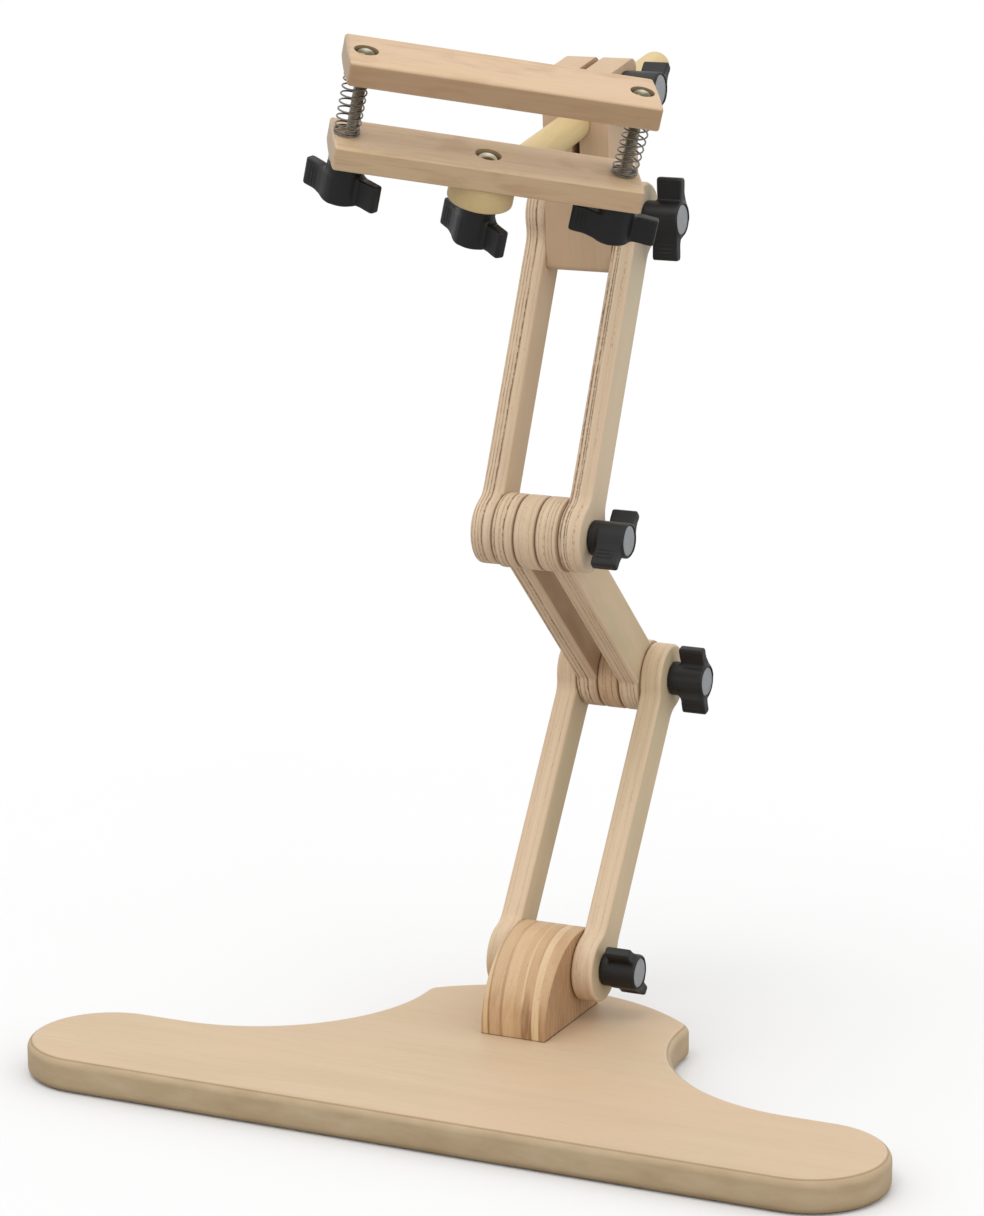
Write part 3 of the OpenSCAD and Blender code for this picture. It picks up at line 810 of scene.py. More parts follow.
def plywood(name, light, dark, face, lines, rough=0.5, streak=0.45, fleck=0.2, knots=0.0):
    """Plywood. lines holds the sheets' joints that show on the edges: place in mm through
    the thickness, strength, dark above zero and pale below it, and half the width."""
    m = Mat(name)
    g = grain_coords(m)
    colour, height, fine = wood_tone(m, g, light, dark, fleck, streak)
    z = m.node("ShaderNodeSeparateXYZ", {"Vector": g}).outputs[2]
    # the outer veneers are a little greener than the edges, in soft clouds
    cloud = m.noise(m.vec("MULTIPLY", g, (0.016, 0.04, 0.04)), 1, 2, 0.5)
    flat = m.step(m.math("MINIMUM", z, m.math("SUBTRACT", PLY, z)), 0.12, 0.02)
    veil = m.math("MULTIPLY_ADD", m.step(cloud, 0.35, 0.65), 0.45, 0.4)
    colour = m.mix(m.math("MULTIPLY", flat, veil), colour, face)
    colour = m.mix(m.math("MULTIPLY", m.math("MULTIPLY", m.step(cloud, 0.5, 0.72), m.math("SUBTRACT", 1.0, flat)), 0.3),
                   colour, face)
    wav = m.math("MULTIPLY", m.math("SUBTRACT", m.noise(m.vec("MULTIPLY", g, (0.022, 0.022, 0.0)), 1, 3), 0.5), 1.5)
    # the saw tears the sheets, so their joints run ragged
    torn = m.noise(m.vec("MULTIPLY", g, (0.42, 0.42, 0.25)), 1, 4, 0.65)
    wav = m.math("ADD", wav, m.math("MULTIPLY", m.math("SUBTRACT", torn, 0.5), 0.9))
    pos = m.math("DIVIDE", m.math("ADD", z, wav), PLY)
    stops = [(0.0, 0.0)]
    for place, strength, half in lines:
        half /= PLY
        stops += [(place / PLY - half, 0.0), (place / PLY, strength), (place / PLY + half, 0.0)]
    grey = [(q, (0.5 + k / 2,) * 3) for q, k in stops + [(1.0, 0.0)]]
    mark = m.node("ShaderNodeSeparateColor", {"Color": m.ramp(pos, grey)}).outputs[0]
    off = m.math("SUBTRACT", mark, 0.5)
    broken = m.noise(m.vec("MULTIPLY", g, (0.03, 0.03, 0.75)), 1, 3, 0.7)
    shown = m.math("MULTIPLY", m.step(broken, 0.3, 0.5), m.math("MULTIPLY_ADD", m.step(torn, 0.36, 0.56), 0.55, 0.45))
    inner = m.step(m.math("MINIMUM", z, m.math("SUBTRACT", PLY, z)), 0.15, 0.6)
    deep = m.math("MULTIPLY", m.math("MULTIPLY", m.math("MAXIMUM", off, 0.0), 2.0), m.math("MULTIPLY", shown, inner))
    pale = m.math("MULTIPLY", m.math("MULTIPLY", m.math("MAXIMUM", m.math("MULTIPLY", off, -1.0), 0.0), 2.0),
                  m.math("MULTIPLY", shown, inner))
    # cross sheets show their open ends, rough and darker
    cells = m.math("SINE", m.math("MULTIPLY", pos, 2 * math.pi * 3))
    ends = m.noise(m.vec("MULTIPLY", g, (0.5, 0.5, 1.7)), 1, 3, 0.7)
    patch = m.noise(m.vec("MULTIPLY", g, (0.04, 0.04, 0.35)), 1, 2, 0.5)
    worn = m.math("MULTIPLY", m.math("MULTIPLY", m.step(cells, 0.1, 0.8), m.step(ends, 0.48, 0.72)),
                  m.math("MULTIPLY", m.math("MULTIPLY", m.step(patch, 0.42, 0.62), inner), rough))
    colour = m.mix(worn, colour, srgb(158, 112, 80))
    colour = m.mix(deep, colour, srgb(104, 66, 44))
    colour = m.mix(pale, colour, srgb(248, 228, 196))
    if knots > 0:
        pit = m.noise(m.vec("MULTIPLY", g, (0.16, 0.16, 0.9)), 1, 2, 0.5)
        k = m.math("MULTIPLY", m.math("MULTIPLY", m.step(pit, 0.72, 0.8), inner), knots)
        colour = m.mix(k, colour, srgb(104, 72, 48))
        deep = m.math("ADD", deep, k)
    # painted shade in the creases where the plates meet, from the rims near the pivots
    painted_shade = m.node("ShaderNodeAttribute", attribute_name="painted_shade").outputs["Fac"]
    colour = m.mix(m.math("MULTIPLY", painted_shade, 0.75, clamp=True), colour, srgb(132, 92, 60))
    height = m.math("SUBTRACT", height, m.math("MULTIPLY", m.math("ADD", deep, m.math("MULTIPLY", worn, 0.5)), 1.6))
    wood_finish(m, colour, height, fine, 0.54)
    return m.m


def laminate(name, strips):
    """Strips of wood glued side by side. strips holds (width in mm, sRGB above, sRGB below); the lower colours are
    partly the strips' own darker tone and partly painted shade towards the board.
    """
    m = Mat(name)
    g = grain_coords(m)
    sep = m.node("ShaderNodeSeparateXYZ", {"Vector": g})
    x, y, z = sep.outputs
    bend = m.math("MULTIPLY", m.math("SUBTRACT", m.noise(m.vec("MULTIPLY", g, (0.025, 0.05, 0.0)), 1, 2), 0.5), 0.9)
    lean = m.math("MULTIPLY", m.math("SUBTRACT", x, BASE_T), 0.07)
    pos = m.math("DIVIDE", m.math("ADD", m.math("ADD", z, bend), lean), 36.0)
    total = sum(w for w, _, _ in strips)
    upper, lower, at = [], [], 0.0
    for width, above, below in strips:
        share = width / total
        soft = min(0.007, share / 3)
        upper += [(at + soft, srgb(*above)), (at + share - soft, srgb(*above))]
        lower += [(at + soft, srgb(*below)), (at + share - soft, srgb(*below))]
        at += share
    # the lower part takes the lower colours: partly the strips' own darker tone, partly painted shade towards the board
    fade = m.noise(m.vec("MULTIPLY", g, (0.06, 0.06, 0.3)), 1, 2, 0.5)
    low = m.step(m.math("ADD", x, m.math("MULTIPLY", m.math("SUBTRACT", fade, 0.5), 22.0)), BASE_T + 26.0, BASE_T + 12.0)
    colour = m.mix(low, m.ramp(pos, upper), m.ramp(pos, lower))
    # fine lines inside the strips, long streaks and open ends
    fine_line = m.noise(m.vec("MULTIPLY", g, (0.012, 0.03, 2.0)), 1, 3, 0.7)
    grain = m.noise(m.vec("MULTIPLY", g, (0.07, 1.1, 1.7)), 1, 3, 0.6)
    patch = m.noise(m.vec("MULTIPLY", g, (0.035, 0.05, 0.22)), 1, 2, 0.5)
    colour = m.mix(m.math("MULTIPLY", m.step(fine_line, 0.56, 0.7), 0.42), colour, srgb(158, 112, 72))
    colour = m.mix(m.math("MULTIPLY", m.step(fine_line, 0.42, 0.3), 0.35), colour, srgb(238, 206, 164))
    colour = m.mix(m.math("MULTIPLY", m.step(patch, 0.4, 0.62), 0.32), colour, srgb(228, 192, 150))
    colour = m.mix(m.math("MULTIPLY", m.step(grain, 0.52, 0.75), 0.3), colour, srgb(162, 118, 78))
    # the side faces are one board each, flecked, and browner partly by their own tone and partly as painted shade
    side = m.step(m.math("MINIMUM", z, m.math("SUBTRACT", 36.0, z)), 0.3, 0.05)
    plain = m.mix(m.step(grain, 0.35, 0.7), srgb(196, 158, 118), srgb(166, 126, 88))
    colour = m.mix(side, colour, plain)
    # painted shade: a dark line where the block stands on the board
    contact_shade = m.step(m.math("ADD", x, m.math("MULTIPLY", m.math("SUBTRACT", grain, 0.5), 0.3)), BASE_T + 0.75, BASE_T + 0.25)
    colour = m.mix(m.math("MULTIPLY", contact_shade, 0.7), colour, srgb(110, 76, 46))
    m.put(m.bsdf.inputs["Base Color"], colour)
    m.put(m.bsdf.inputs["Roughness"], m.math("MULTIPLY_ADD", grain, 0.2, 0.38))
    m.bsdf.inputs["IOR"].default_value = 1.45
    m.bsdf.inputs["Specular IOR Level"].default_value = 0.4
    height = m.math("SUBTRACT", m.math("MULTIPLY", grain, 0.6), m.math("MULTIPLY", m.step(fine_line, 0.56, 0.7), 0.6))
    m.put(m.bsdf.inputs["Normal"], m.bump(height, 0.00012, 0.5))
    return m.m


def plastic(name):
    m = Mat(name)
    g = grain_coords(m)
    spark = m.noise(m.vec("MULTIPLY", g, (4.2, 4.2, 4.2)), 1, 3, 0.6)
    cloud = m.noise(m.vec("MULTIPLY", g, (0.12, 0.12, 0.12)), 1, 2, 0.5)
    scuff = m.noise(m.vec("MULTIPLY", g, (1.4, 0.3, 0.3)), 1, 4, 0.7)
    colour = m.mix(m.math("MULTIPLY", m.step(scuff, 0.6, 0.85), 0.35), srgb(22, 22, 22), srgb(38, 38, 38))
    m.put(m.bsdf.inputs["Base Color"], colour)
    m.put(m.bsdf.inputs["Roughness"], m.math("ADD", m.math("MULTIPLY", cloud, 0.14),
                                             m.math("MULTIPLY_ADD", spark, 0.1, 0.32)))
    m.bsdf.inputs["IOR"].default_value = 1.5
    m.bsdf.inputs["Specular IOR Level"].default_value = 0.4
    m.put(m.bsdf.inputs["Normal"], m.bump(spark, 0.00004, 0.5))
    return m.m


def cap_plastic(name):
    m = Mat(name)
    g = grain_coords(m)
    spark = m.noise(m.vec("MULTIPLY", g, (3.0, 3.0, 3.0)), 1, 3, 0.6)
    cloud = m.noise(m.vec("MULTIPLY", g, (0.2, 0.2, 0.2)), 1, 2, 0.5)
    m.put(m.bsdf.inputs["Base Color"], m.mix(cloud, srgb(168, 170, 173), srgb(150, 152, 156)))
    m.put(m.bsdf.inputs["Roughness"], m.math("MULTIPLY_ADD", spark, 0.15, 0.36))
    m.bsdf.inputs["IOR"].default_value = 1.48
    m.put(m.bsdf.inputs["Normal"], m.bump(spark, 0.00003, 0.4))
    return m.m


def steel(name, light=(214, 212, 206), dark=(168, 166, 160), rough=0.26, worn=0.3, rim=None):
    """Plated steel. rim is the colour painted round a head, away from its crown: a painted dark reflection, with the
    lighter crown left as a painted highlight.
    """
    m = Mat(name)
    g = grain_coords(m)
    cloud = m.noise(m.vec("MULTIPLY", g, (0.5, 0.5, 0.5)), 1, 4, 0.6)
    scratch = m.noise(m.vec("MULTIPLY", g, (9.0, 0.8, 0.8)), 1, 3, 0.6)
    colour = m.mix(m.math("MULTIPLY", m.step(cloud, 0.35, 0.8), worn + 0.4), srgb(*light), srgb(*dark))
    # painted reflection: the head darkens away from its crown, and the crown stays light as a painted highlight
    if rim is not None:
        axial = m.vec("MULTIPLY", g, (1.0, 1.0, 0.0))
        away = m.node("ShaderNodeVectorMath", {0: axial}, operation="LENGTH").outputs["Value"]
        away = m.math("ADD", away, m.math("MULTIPLY", m.math("SUBTRACT", cloud, 0.5), 1.2))
        colour = m.mix(m.step(away, 0.5, 3.2), colour, srgb(*rim))
    m.put(m.bsdf.inputs["Base Color"], colour)
    m.bsdf.inputs["Metallic"].default_value = 1.0
    m.put(m.bsdf.inputs["Roughness"], m.math("ADD", m.math("MULTIPLY", cloud, 0.16),
                                             m.math("MULTIPLY_ADD", scratch, 0.1, rough - 0.1)))
    m.put(m.bsdf.inputs["Normal"], m.bump(scratch, 0.00003, 0.3))
    return m.m


M_BOARD = board_wood("board_wood", srgb(226, 202, 170), srgb(206, 176, 140), srgb(226, 196, 162),
                     srgb(210, 186, 152), srgb(182, 156, 120), 0.6, BASE_T)
# The two jaws are one beech in a lit and a shaded copy: the lower one is painted lighter against the upper jaw's shadow
# on its top, the upper one darker, with more painted shade on its sides.
M_JAW_LOW = wood("jaw_wood_lower", srgb(243, 216, 180), srgb(222, 190, 150), fleck=0.25, streak=0.45,
                 pink=srgb(232, 198, 162), figure=0.8, centre=2100.0)
M_JAW_UP = wood("jaw_wood_upper", srgb(231, 202, 168), srgb(208, 174, 138), fleck=0.25, streak=0.45,
                pink=srgb(230, 196, 162), figure=0.7, centre=2700.0, side_shade=0.55)
PLY_LIGHT, PLY_DARK, PLY_FACE = srgb(242, 217, 186), srgb(222, 189, 153), srgb(213, 194, 156)
LINK_FACE, LINK_INNER, LEFT_FACE, RIGHT_FACE = srgb(200, 182, 144), srgb(192, 156, 124), srgb(217, 190, 154), srgb(217, 203, 174)
M_HEAD = kerf_wood("head_wood", srgb(228, 199, 166), srgb(203, 168, 131), srgb(226, 190, 156), 70.0, 2.0, 1531.6)
M_PLY_LEFT = plywood("plywood_left", PLY_LIGHT, PLY_DARK, LEFT_FACE,
                     ((1.4, 0.55, 0.3), (2.2, -0.6, 0.4), (3.0, 0.8, 0.35), (3.8, -0.5, 0.4), (4.7, 0.7, 0.4),
                      (6.7, 1.0, 0.75), (8.2, -0.4, 0.6), (10.2, 0.25, 0.4)), 0.5, knots=0.8)
M_PLY_RIGHT = plywood("plywood_right", PLY_LIGHT, PLY_DARK, RIGHT_FACE,
                      ((1.9, 1.0, 0.7), (2.9, -0.5, 0.3), (3.8, 1.0, 0.6), (4.9, 0.9, 0.4), (6.0, -0.5, 0.5), (8.6, 0.2, 0.4)),
                      1.0, knots=0.9)
M_PLY_LINK = plywood("plywood_link", PLY_LIGHT, PLY_DARK, LINK_INNER,
                     ((2.0, 0.9, 0.5), (3.2, -0.6, 0.5), (4.6, 0.7, 0.35), (6.8, 1.0, 0.7), (8.2, -0.4, 0.5), (9.8, 0.4, 0.3)),
                     1.0, knots=0.7)
M_PLY_SOFT = plywood("plywood_soft", PLY_LIGHT, PLY_DARK, LINK_FACE,
                     ((2.4, 0.5, 0.4), (4.0, -0.5, 0.5), (5.6, 0.65, 0.35), (7.6, 0.4, 0.5), (9.4, 0.7, 0.4)), 0.6)
M_PLY_PLAIN = plywood("plywood_plain", PLY_LIGHT, PLY_DARK, PLY_FACE, ((3.4, 0.25, 0.4), (6.6, -0.35, 0.6), (8.8, 0.3, 0.35)), 0.3)
M_PLY_MID = plywood("plywood_mid", srgb(230, 198, 162), srgb(204, 166, 128), PLY_FACE, ((3.4, 0.8, 0.5), (5.2, 0.4, 0.35), (8.6, 0.7, 0.5)), 0.8)
M_DOWEL = wood("dowel_wood", srgb(236, 212, 160), srgb(214, 182, 126), fleck=0.12, streak=0.4)
M_LAM = laminate("laminated_block", [
    (1.6, (214, 178, 138), (178, 136, 96)), (2.4, (232, 202, 160), (226, 190, 142)), (1.0, (194, 156, 114), (154, 110, 72)),
    (5.8, (218, 184, 144), (204, 164, 122)), (1.6, (204, 166, 124), (182, 140, 98)), (6.2, (226, 192, 152), (214, 174, 130)),
    (4.0, (214, 178, 136), (196, 154, 110)), (0.8, (236, 206, 166), (170, 126, 86)), (4.8, (212, 174, 132), (154, 112, 74)),
    (0.6, (192, 154, 114), (172, 132, 90)), (3.8, (236, 206, 166), (234, 202, 156)), (3.4, (208, 170, 128), (178, 136, 94))])
M_KNOB = plastic("black_plastic")
M_CAP = cap_plastic("grey_cap")
M_STEEL = steel("bolt_steel")
# the jaw bolts' heads carry a painted dark reflection round a lighter crown, which stands as a painted highlight
M_HEADS = steel("head_steel", (238, 232, 212), (214, 206, 182), 0.2, 0.3, rim=(124, 113, 86))
M_CENTRE = steel("centre_head_steel", (240, 236, 220), (216, 210, 190), 0.2, 0.3, rim=(180, 170, 142))
M_THREAD = steel("thread_steel", (166, 156, 140), (122, 112, 98), 0.42, 0.5)
M_SPRING = steel("spring_wire", (146, 142, 134), (104, 100, 94), 0.3, 0.4)

# ---------------------------------------------------------------- camera
cam_data = bpy.data.cameras.new("camera")
cam = bpy.data.objects.new("camera", cam_data)
bpy.context.scene.collection.objects.link(cam)
cam.location = (0.7745, -1.6869, 0.6785)
cam.rotation_euler = (math.radians(76.95), 0, math.radians(24.75))
cam_data.sensor_width = 36.0
cam_data.lens = 3849.4 * 36.0 / 1216.0      # the sensor's width lies along the long side
cam_data.clip_start, cam_data.clip_end = 0.05, 60.0
bpy.context.scene.camera = cam

# ---------------------------------------------------------------- base
to_object("board", plate(base_outline(), BASE_T, 4.6, 4.0, steps=7),
          move(0, 0, 0), [M_BOARD], "base", ["base_board"], shift=(0, 0, 0))
to_object("block", plate(block_outline(), 36.0, 0.7, 0.7, [bore(PA[0], PA[1], 3.05, 36.0)], steps=3),
          side_plane(-HALF), [M_LAM], "base", ["pivot_block"],
          grain=((0, 1, 0), (1, 0, 0), (0, 0, 1)), shift=(0, 0, 0))

# ---------------------------------------------------------------- arms
RIM = 1.7         # rounding of the plates' edges


def bar_piece(name, x0, p, length, deg, w, r, body, node, mat, k, painted_shade, f=12.0):
    holes = [bore(0, 0, 3.05, PLY), bore(length, 0, 3.05, PLY)]
    to_object(name, plate(bar_outline(length, w, r, f), PLY, RIM, RIM, holes, 4, 1.0, painted_shade, ((0, 0), (length, 0))),
              bar_plane(x0, p, deg), [mat], body, [node],
              shift=(911.0 * k, 53.0 * k, 0.0))


# the last pair paints shade into the lower and upper rims near the pivots, where plates meet
bar_piece("arm_lower_left", -ARM_OUT, PA, LOWER_L, LOWER_A, 21, 18, "lower_arms", "lower_arm_left", M_PLY_PLAIN, 1, (0, 1))
bar_piece("arm_lower_right", ARM_IN, PA, LOWER_L, LOWER_A, 21, 18, "lower_arms", "lower_arm_right", M_PLY_PLAIN, 2, (1, 0))
bar_piece("bar_left", -HALF, PB, LINK_L, LINK_A, 26, 19, "link", "link_bar_left", M_PLY_LINK, 3, (1, 1), 3.0)
bar_piece("bar_right", HALF - PLY, PB, LINK_L, LINK_A, 26, 19, "link", "link_bar_right", M_PLY_SOFT, 4, (1, 1), 3.0)
bar_piece("arm_upper_left", -ARM_OUT, PC, UPPER_L, UPPER_A, 21, 18, "upper_arms", "upper_arm_left", M_PLY_LEFT, 5, (0, 1))
bar_piece("arm_upper_right", ARM_IN, PC, UPPER_L, UPPER_A, 21, 18, "upper_arms", "upper_arm_right", M_PLY_RIGHT, 6, (1, 0))
# the spacers get painted shade on both rims, where they meet the link bars
for k, (p, nm) in enumerate(((PB, "lower"), (PC, "upper"))):
    disc = plate(tidy(arc(0, 0, 19.0, 0, 360, 3)), PLY, RIM, RIM, [bore(0, 0, 3.05, PLY)], 4, 1.0, (1, 1), ((0, 0),))
    to_object("spacer_" + nm, disc, bar_plane(-6, p, LINK_A), [M_PLY_MID if k == 0 else M_PLY_PLAIN], "link",
              ["link_spacer_" + nm], shift=(640.0 + 90 * k, 210.0, 0.0))

# ---------------------------------------------------------------- head block
def head_outline():
    # the top rises a little towards the back
    d, up, down, slope, r, q = 19.0, 77.0, 26.0, 7.0, 6.0, 0.6
    rise, sec = math.tan(math.radians(slope)), 1 / math.cos(math.radians(slope))
    pts = arc(-d + 3, -down + 3, 3, 180, 270, 15)
    pts += arc(d - 3, -down + 3, 3, -90, 0, 15)
    pts += arc(d - r, up + (d - r) * rise - r * sec, r, 0, 90 + slope, 9)
    pts += arc(-d + q, up + (-d + q) * rise - q * sec, q, 90 + slope, 180, 41)
    return tidy(pts)


def bare_plate(outline, t):
    """The same outline with hard edges, as a base for cutting and bevelling."""
    s = Shape()
    o = np.array(outline, float)
    lo = s.ring(np.column_stack((o[:, :2], np.zeros(len(o)))))
    hi = s.ring(np.column_stack((o[:, :2], np.full(len(o), t))))
    n = np.column_stack((o[:, 2:], np.zeros(len(o))))
    s.strip(lo, hi, n, n)
    s.f.append(tuple(hi))
    s.f.append(tuple(reversed(lo)))
    return s


def plain_object(name, shape, place):
    """A scratch object for cutting, in millimetres."""
    place = np.array(place, float)
    co = np.array(shape.v, float) @ place[:3, :3].T + place[:3, 3]
    mesh = bpy.data.meshes.new(name)
    mesh.from_pydata(co.tolist(), [], shape.f)
    ob = bpy.data.objects.new(name, mesh)
    bpy.context.scene.collection.objects.link(ob)
    return ob


def block_cut(ob, cutters, width, angle=38, segments=3):
    """Cuts the cutters out of the object, eases its edges and returns the finished mesh."""
    for c in cutters:
        b = ob.modifiers.new("cut", "BOOLEAN")
        b.operation, b.solver, b.object = "DIFFERENCE", "EXACT", c
    bev = ob.modifiers.new("ease", "BEVEL")
    bev.width, bev.segments, bev.limit_method = width, segments, "ANGLE"
    bev.angle_limit = math.radians(angle)
    bev.use_clamp_overlap = True
    bev.harden_normals = True
    bpy.context.view_layer.update()
    deps = bpy.context.evaluated_depsgraph_get()
    mesh = bpy.data.meshes.new_from_object(ob.evaluated_get(deps))
    for c in cutters + [ob]:
        old = c.data
        bpy.data.objects.remove(c)
        bpy.data.meshes.remove(old)
    return mesh


def cut_piece(name, mesh, inverse, materials, body, nodes, grain, shift):
    co = np.empty(len(mesh.vertices) * 3)
    mesh.vertices.foreach_get("co", co)
    co = co.reshape(-1, 3)
    inv = np.array(inverse, float)
    local = (co @ inv[:3, :3].T + inv[:3, 3]) @ np.array(grain, float).T + np.array(shift, float)
    nrm = np.empty(len(mesh.loops) * 3)
    mesh.corner_normals.foreach_get("vector", nrm)
    mesh.vertices.foreach_set("co", (co * MM).ravel())
    mesh.update()
    mesh.polygons.foreach_set("use_smooth", [True] * len(mesh.polygons))
    mesh.normals_split_custom_set(nrm.reshape(-1, 3).tolist())
    attr = mesh.attributes.new("grain", "FLOAT_VECTOR", "POINT")
    attr.data.foreach_set("vector", local.astype(np.float32).ravel())
    mesh.materials.clear()
    for m in materials:
        mesh.materials.append(m)
    ob = bpy.data.objects.new(name, mesh)
    bpy.context.scene.collection.objects.link(ob)
    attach(ob, body)
    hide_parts(*nodes)
    return ob


def pin(r, z0, z1, n=64):
    return lathe([[(0, z0), (r, z0)], [(r, z0), (r, z1)], [(r, z1), (0, z1)]], n)


def box_shape(x0, x1, y0, y1, z0, z1):
    s = Shape()
    s.v = [(x, y, z) for z in (z0, z1) for y in (y0, y1) for x in (x0, x1)]
    s.f = [(0, 2, 3, 1), (4, 5, 7, 6), (0, 1, 5, 4), (1, 3, 7, 5), (3, 2, 6, 7), (2, 0, 4, 6)]
    return s


head_place = AT_HEAD @ side_plane(-HALF)
head = plain_object("head_raw", bare_plate(head_outline(), 36.0), head_place)
for poly in head.data.polygons:
    poly.use_smooth = True
cutters = [
    plain_object("kerf", box_shape(-2.0, 2.0, -40, 40, 32, 95), AT_HEAD),
    plain_object("bore_pivot", pin(3.05, -20, 20), AT_HEAD @ rot("Y", 90)),
    plain_object("bore_kerf", pin(3.05, -20, 20), AT_HEAD @ move(0, 3, 65) @ rot("Y", 90)),
    plain_object("bore_dowel", pin(8.05, 95, 175), AT_DOWEL),
]
head_mesh = block_cut(head, cutters, 0.6)
cut_piece("head", head_mesh, AT_HEAD.inverted(), [M_HEAD], "head", ["head_block"],
          ((0, 0, 1), (0, 1, 0), (1, 0, 0)), (1500, 40, 70))

# ---------------------------------------------------------------- dowel and foot
tip = 229.0
ball = [(8 * math.cos(math.radians(a)), tip - 8 + 8 * math.sin(math.radians(a))) for a in range(0, 91, 9)]
ball[-1] = (0.0, tip)
dowel = lathe([[(0, 5.2), (3.1, 5.2)], [(3.1, 5.2), (3.3, 5.6), (3.3, 16.3)], [(3.3, 16.3), (7.6, 16.3)],
               [(7.6, 16.3), (7.85, 16.4), (8.0, 16.8)] + [(8.0, 60), (8.0, 110), (8.0, 160), (8.0, 200)] + ball], 56)
to_object("dowel_rod", dowel, AT_DOWEL, [M_DOWEL], "dowel", ["dowel"],
          grain=((0, 0, 1), (0, 1, 0), (1, 0, 0)), shift=(3300, 70, 20))
foot_runs = [[(0, -3.9), (14.6, -3.9)] + round_end(16.0, -3.9, 1.4, False)[1:]
             + round_end(16.0, 8.45, 0.6, True) + [(0, 8.45)]]
foot = plain_object("foot_raw", lathe(foot_runs, 72), AT_CLAMP)
for poly in foot.data.polygons:
    poly.use_smooth = True
foot_mesh = block_cut(foot, [plain_object("foot_bore", pin(3.05, -12, 20, 48), AT_CLAMP),
                             plain_object("foot_socket", pin(3.35, 4.6, 30, 48), AT_DOWEL)], 0.25, segments=2)
cut_piece("foot", foot_mesh, AT_CLAMP.inverted(), [M_DOWEL], "dowel_foot", ["dowel_foot"],
          ((1, 0, 0), (0, 1, 0), (0, 0, 1)), (4100, 90, 10))

# ---------------------------------------------------------------- jaws
# the bore walls get painted shade, darker in the upper jaw's seats
lower = plate(jaw_outline(75.4, 74.4), JAW_T, 1.3, 1.3,
              [bore(-BOLT_U, 0, 3.05, JAW_T), bore(0, 0, 3.05, JAW_T, seat=(6.45, 2.6), e=0.2),
               bore(BOLT_U, 0, 3.05, JAW_T)], steps=4, hole_shade=0.5)
to_object("jaw_lower", lower, AT_CLAMP @ move(0, 0, JAW_LO), [M_JAW_LOW], "lower_jaw", ["lower_jaw"],
          shift=(2100, 300, 40))
upper = plate(jaw_outline(75.4, 74.4), JAW_T, 1.3, 1.3,
              [bore(-BOLT_U, 0, 3.05, JAW_T, seat=(5.9, 2.6), e=0.2),
               bore(BOLT_U, 0, 3.05, JAW_T, seat=(5.9, 2.6), e=0.2)], steps=4, hole_shade=1.0)
to_object("jaw_upper", upper, AT_CLAMP @ move(0, 0, JAW_UP), [M_JAW_UP], "upper_jaw", ["upper_jaw"],
          shift=(2700, 500, 40))

# ---------------------------------------------------------------- bolts
for nm, p, body in (("a", PA, "lower_arms"), ("b", PB, "lower_arms"), ("c", PC, "upper_arms"), ("d", PD, "upper_arms")):
    node = "pivot_bolt_" + nm
    to_object("bolt_" + nm, bolt_shape(72, 15, 3.4, thread=22), side_plane(-ARM_OUT) @ move(p[0], p[1], 0),
              [M_STEEL], body, [node], shift=(10, 3, 1))
to_object("bolt_kerf", bolt_shape(50, 13, 3.4, thread=18), AT_HEAD @ move(-HALF, 3, 65) @ rot("Y", 90),
          [M_STEEL], "head", ["kerf_bolt"])


def hang(u, w):
    return AT_CLAMP @ move(u, 0, w) @ rot("X", 180)


seat_w = JAW_UP + JAW_T - 2.6
for side, u in (("left", -BOLT_U), ("right", BOLT_U)):
    to_object("bolt_jaw_" + side, bolt_shape(57, 11.6, 3.0, thread=54), hang(u, seat_w), [M_HEADS, M_THREAD],
              "upper_jaw", ["jaw_bolt_" + side])
to_object("bolt_centre", bolt_shape(38, 12.4, 2.8, thread=16), hang(0, JAW_LO + JAW_T - 2.6), [M_CENTRE],
          "lower_jaw", ["centre_bolt"])


# ---------------------------------------------------------------- washers
def washer(r0=3.05, r1=9.0, t=1.6, e=0.3):
    return lathe([[(r0, t - 0.01), (r0, 0.01)],
                  [(r0, 0.01), (r0 + 0.02, 0.0), (r1 - e, 0.0)] + round_end(r1, 0.0, e, False)[1:]
                  + round_end(r1, t, e, True) + [(r0 + 0.02, t), (r0, t - 0.01)]], 48)


for nm, u, w, body in (("jaw_washer_left", -BOLT_U, JAW_LO, "lower_jaw"), ("jaw_washer_right", BOLT_U, JAW_LO, "lower_jaw"),
                       ("centre_washer", 0, -3.9, "dowel_foot")):
    to_object(nm + "_ring", washer(), AT_CLAMP @ move(u, 0, w - 1.7), [M_STEEL], body, [nm])

# ---------------------------------------------------------------- springs
def spring_points(steps=30):
    wire, closed, opened = 0.9, 2.0, 7.0
    height, tight = GAP - 0.1, 0.9 + 0.12
    total = closed + opened + 1.0
    pitch = (height - wire - (closed + 1) * tight) / opened
    pts = []
    for i in range(int(total * steps) + 1):
        n = i / steps
        if n < closed:
            z = n * tight
        elif n < closed + opened:
            z = closed * tight + (n - closed) * pitch
        else:
            z = closed * tight + opened * pitch + (n - closed - opened) * tight
        a = 2 * math.pi * n
        pts.append((6.05 * math.cos(a), 6.05 * math.sin(a), wire / 2 + z))
    return pts


for side, u in (("left", -BOLT_U), ("right", BOLT_U)):
    # the springs sit loosely round the bolts: one aside, one leaning
    low, high = (-2.35, -2.25) if side == "left" else (-0.5, 1.3)
    coil = [(x + low + (high - low) * z / GAP, y, z) for x, y, z in spring_points()]
    ob = to_object("spring_" + side, tube(coil, 0.42, 12), AT_CLAMP @ move(u, 0, JAW_LO + JAW_T + 0.05),
                   [M_SPRING], "lower_jaw", ["jaw_spring_" + side])
    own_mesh(ob)

# ---------------------------------------------------------------- knobs
def on_side(x, p, a):
    return move(x, p[0], p[1]) @ rot("Y", 90) @ rot("Z", a)


def below(u, w, a):
    return AT_CLAMP @ move(u, 0, w) @ rot("X", 180) @ rot("Z", a)


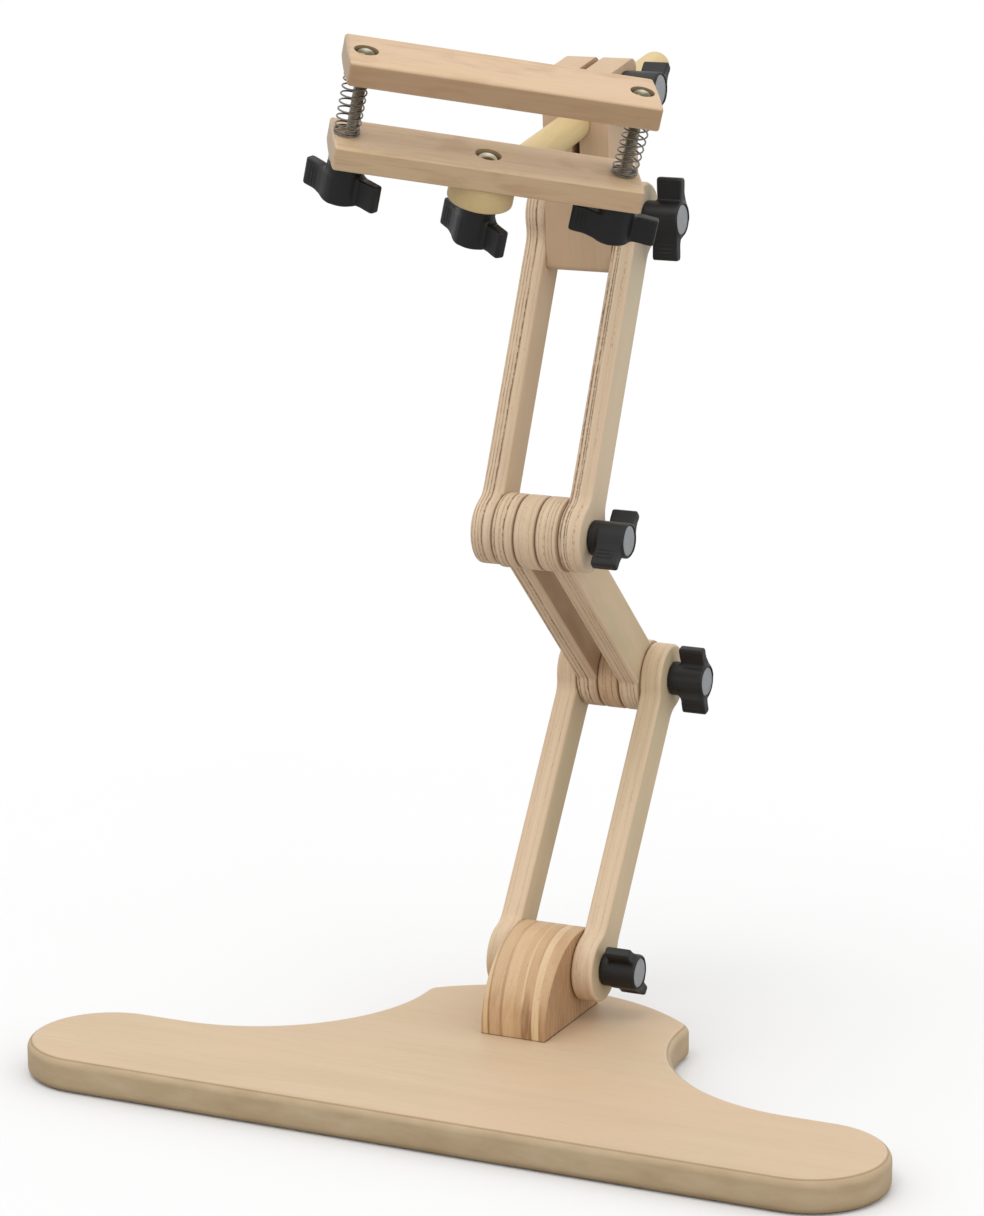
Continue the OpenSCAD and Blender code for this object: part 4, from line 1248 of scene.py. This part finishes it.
lean = math.radians(HEAD_LEAN)
KERF = (PD[0] + 3 * math.cos(lean) - 65 * math.sin(lean), PD[1] + 3 * math.sin(lean) + 65 * math.cos(lean))
SHORT, LONG = knob_mesh(18.5), knob_mesh(21.0)
cap_disc = lathe([[(0, 17.98), (7.7, 17.98)], [(7.7, 17.98), (7.7, 18.9), (7.6, 19.15), (7.35, 19.3), (7.0, 19.36),
                                              (4.0, 19.42), (0, 19.45)]], 64)
under_jaw, under_foot = JAW_LO - 1.6 - 0.8, -3.9 - 1.6 - 0.8
KNOBS = [
    ("a", "knob_a", "knob_cap_a", SHORT, on_side(30.15, PA, 48)),
    ("b", "knob_b", "knob_cap_b", SHORT, on_side(30.15, PB, 17.6)),
    ("c", "knob_c", "knob_cap_c", SHORT, on_side(30.15, PC, -45)),
    ("d", "knob_d", "knob_cap_d", LONG, on_side(30.15, PD, 0)),
    ("kerf", "kerf_knob", "kerf_knob_cap", SHORT, on_side(18.1, KERF, -45)),
    ("jaw_left", "jaw_knob_left", "jaw_knob_cap_left", LONG, below(-BOLT_U, under_jaw, 44.4)),
    ("jaw_right", "jaw_knob_right", "jaw_knob_cap_right", LONG, below(BOLT_U, under_jaw, 15)),
    ("centre", "centre_knob", "centre_knob_cap", LONG, below(0, under_foot, 57.9)),
]
for k, (nm, node, cap, shape, place) in enumerate(KNOBS):
    to_object("wing_" + nm, shape, place, [M_KNOB], node, [node], shift=(50 * k, 0, 0))
    to_object("cap_" + nm, cap_disc, place, [M_CAP], node, [cap], shift=(50 * k, 0, 0))

# ---------------------------------------------------------------- floor and light
floor_mesh = bpy.data.meshes.new("floor")
floor_mesh.from_pydata([(-14, -14, -0.0002), (14, -14, -0.0002), (14, 14, -0.0002), (-14, 14, -0.0002)], [], [(0, 1, 2, 3)])
# the paper looks white, and throws back only a little light on the object
fm = Mat("floor_paper")
tex = fm.node("ShaderNodeTexCoord").outputs["Object"]
fm.put(fm.bsdf.inputs["Base Color"], fm.mix(fm.noise(tex, 3.0, 2.0), (0.755, 0.755, 0.755, 1), (0.775, 0.775, 0.775, 1)))
fm.bsdf.inputs["Roughness"].default_value = 0.9
fm.bsdf.inputs["Specular IOR Level"].default_value = 0.0
dull = fm.node("ShaderNodeBsdfDiffuse", {"Color": (0.42, 0.42, 0.42, 1)})
seen = fm.node("ShaderNodeLightPath").outputs["Is Camera Ray"]
both = fm.node("ShaderNodeMixShader")
fm.put(both.inputs[0], seen)
fm.put(both.inputs[1], dull.outputs[0])
fm.put(both.inputs[2], fm.bsdf.outputs[0])
fm.put([n for n in fm.nt.nodes if n.type == "OUTPUT_MATERIAL"][0].inputs["Surface"], both.outputs[0])
floor_mesh.materials.append(fm.m)
floor = bpy.data.objects.new("floor", floor_mesh)
bpy.context.scene.collection.objects.link(floor)

world = bpy.data.worlds.new("studio")
bpy.context.scene.world = world
world.use_nodes = True
bg = world.node_tree.nodes["Background"]
bg.inputs[0].default_value = (1.0, 1.0, 1.0, 1.0)
bg.inputs[1].default_value = 0.84 * LIGHT


def sun(name, direction, strength, angle, colour=(1, 1, 1)):
    data = bpy.data.lights.new(name, "SUN")
    data.energy, data.angle, data.color = strength, math.radians(angle), colour
    ob = bpy.data.objects.new(name, data)
    ob.rotation_mode = "QUATERNION"
    ob.rotation_quaternion = (-Vector(direction)).to_track_quat("-Z", "Y")
    bpy.context.scene.collection.objects.link(ob)


sun("key", (-0.1, -0.35, 1.0), 0.5 * LIGHT, 35)
sun("side", (1.0, -0.25, 0.25), 0.25 * LIGHT, 50)
bpy.context.scene.view_settings.view_transform = "Standard"

bpy.context.view_layer.update()
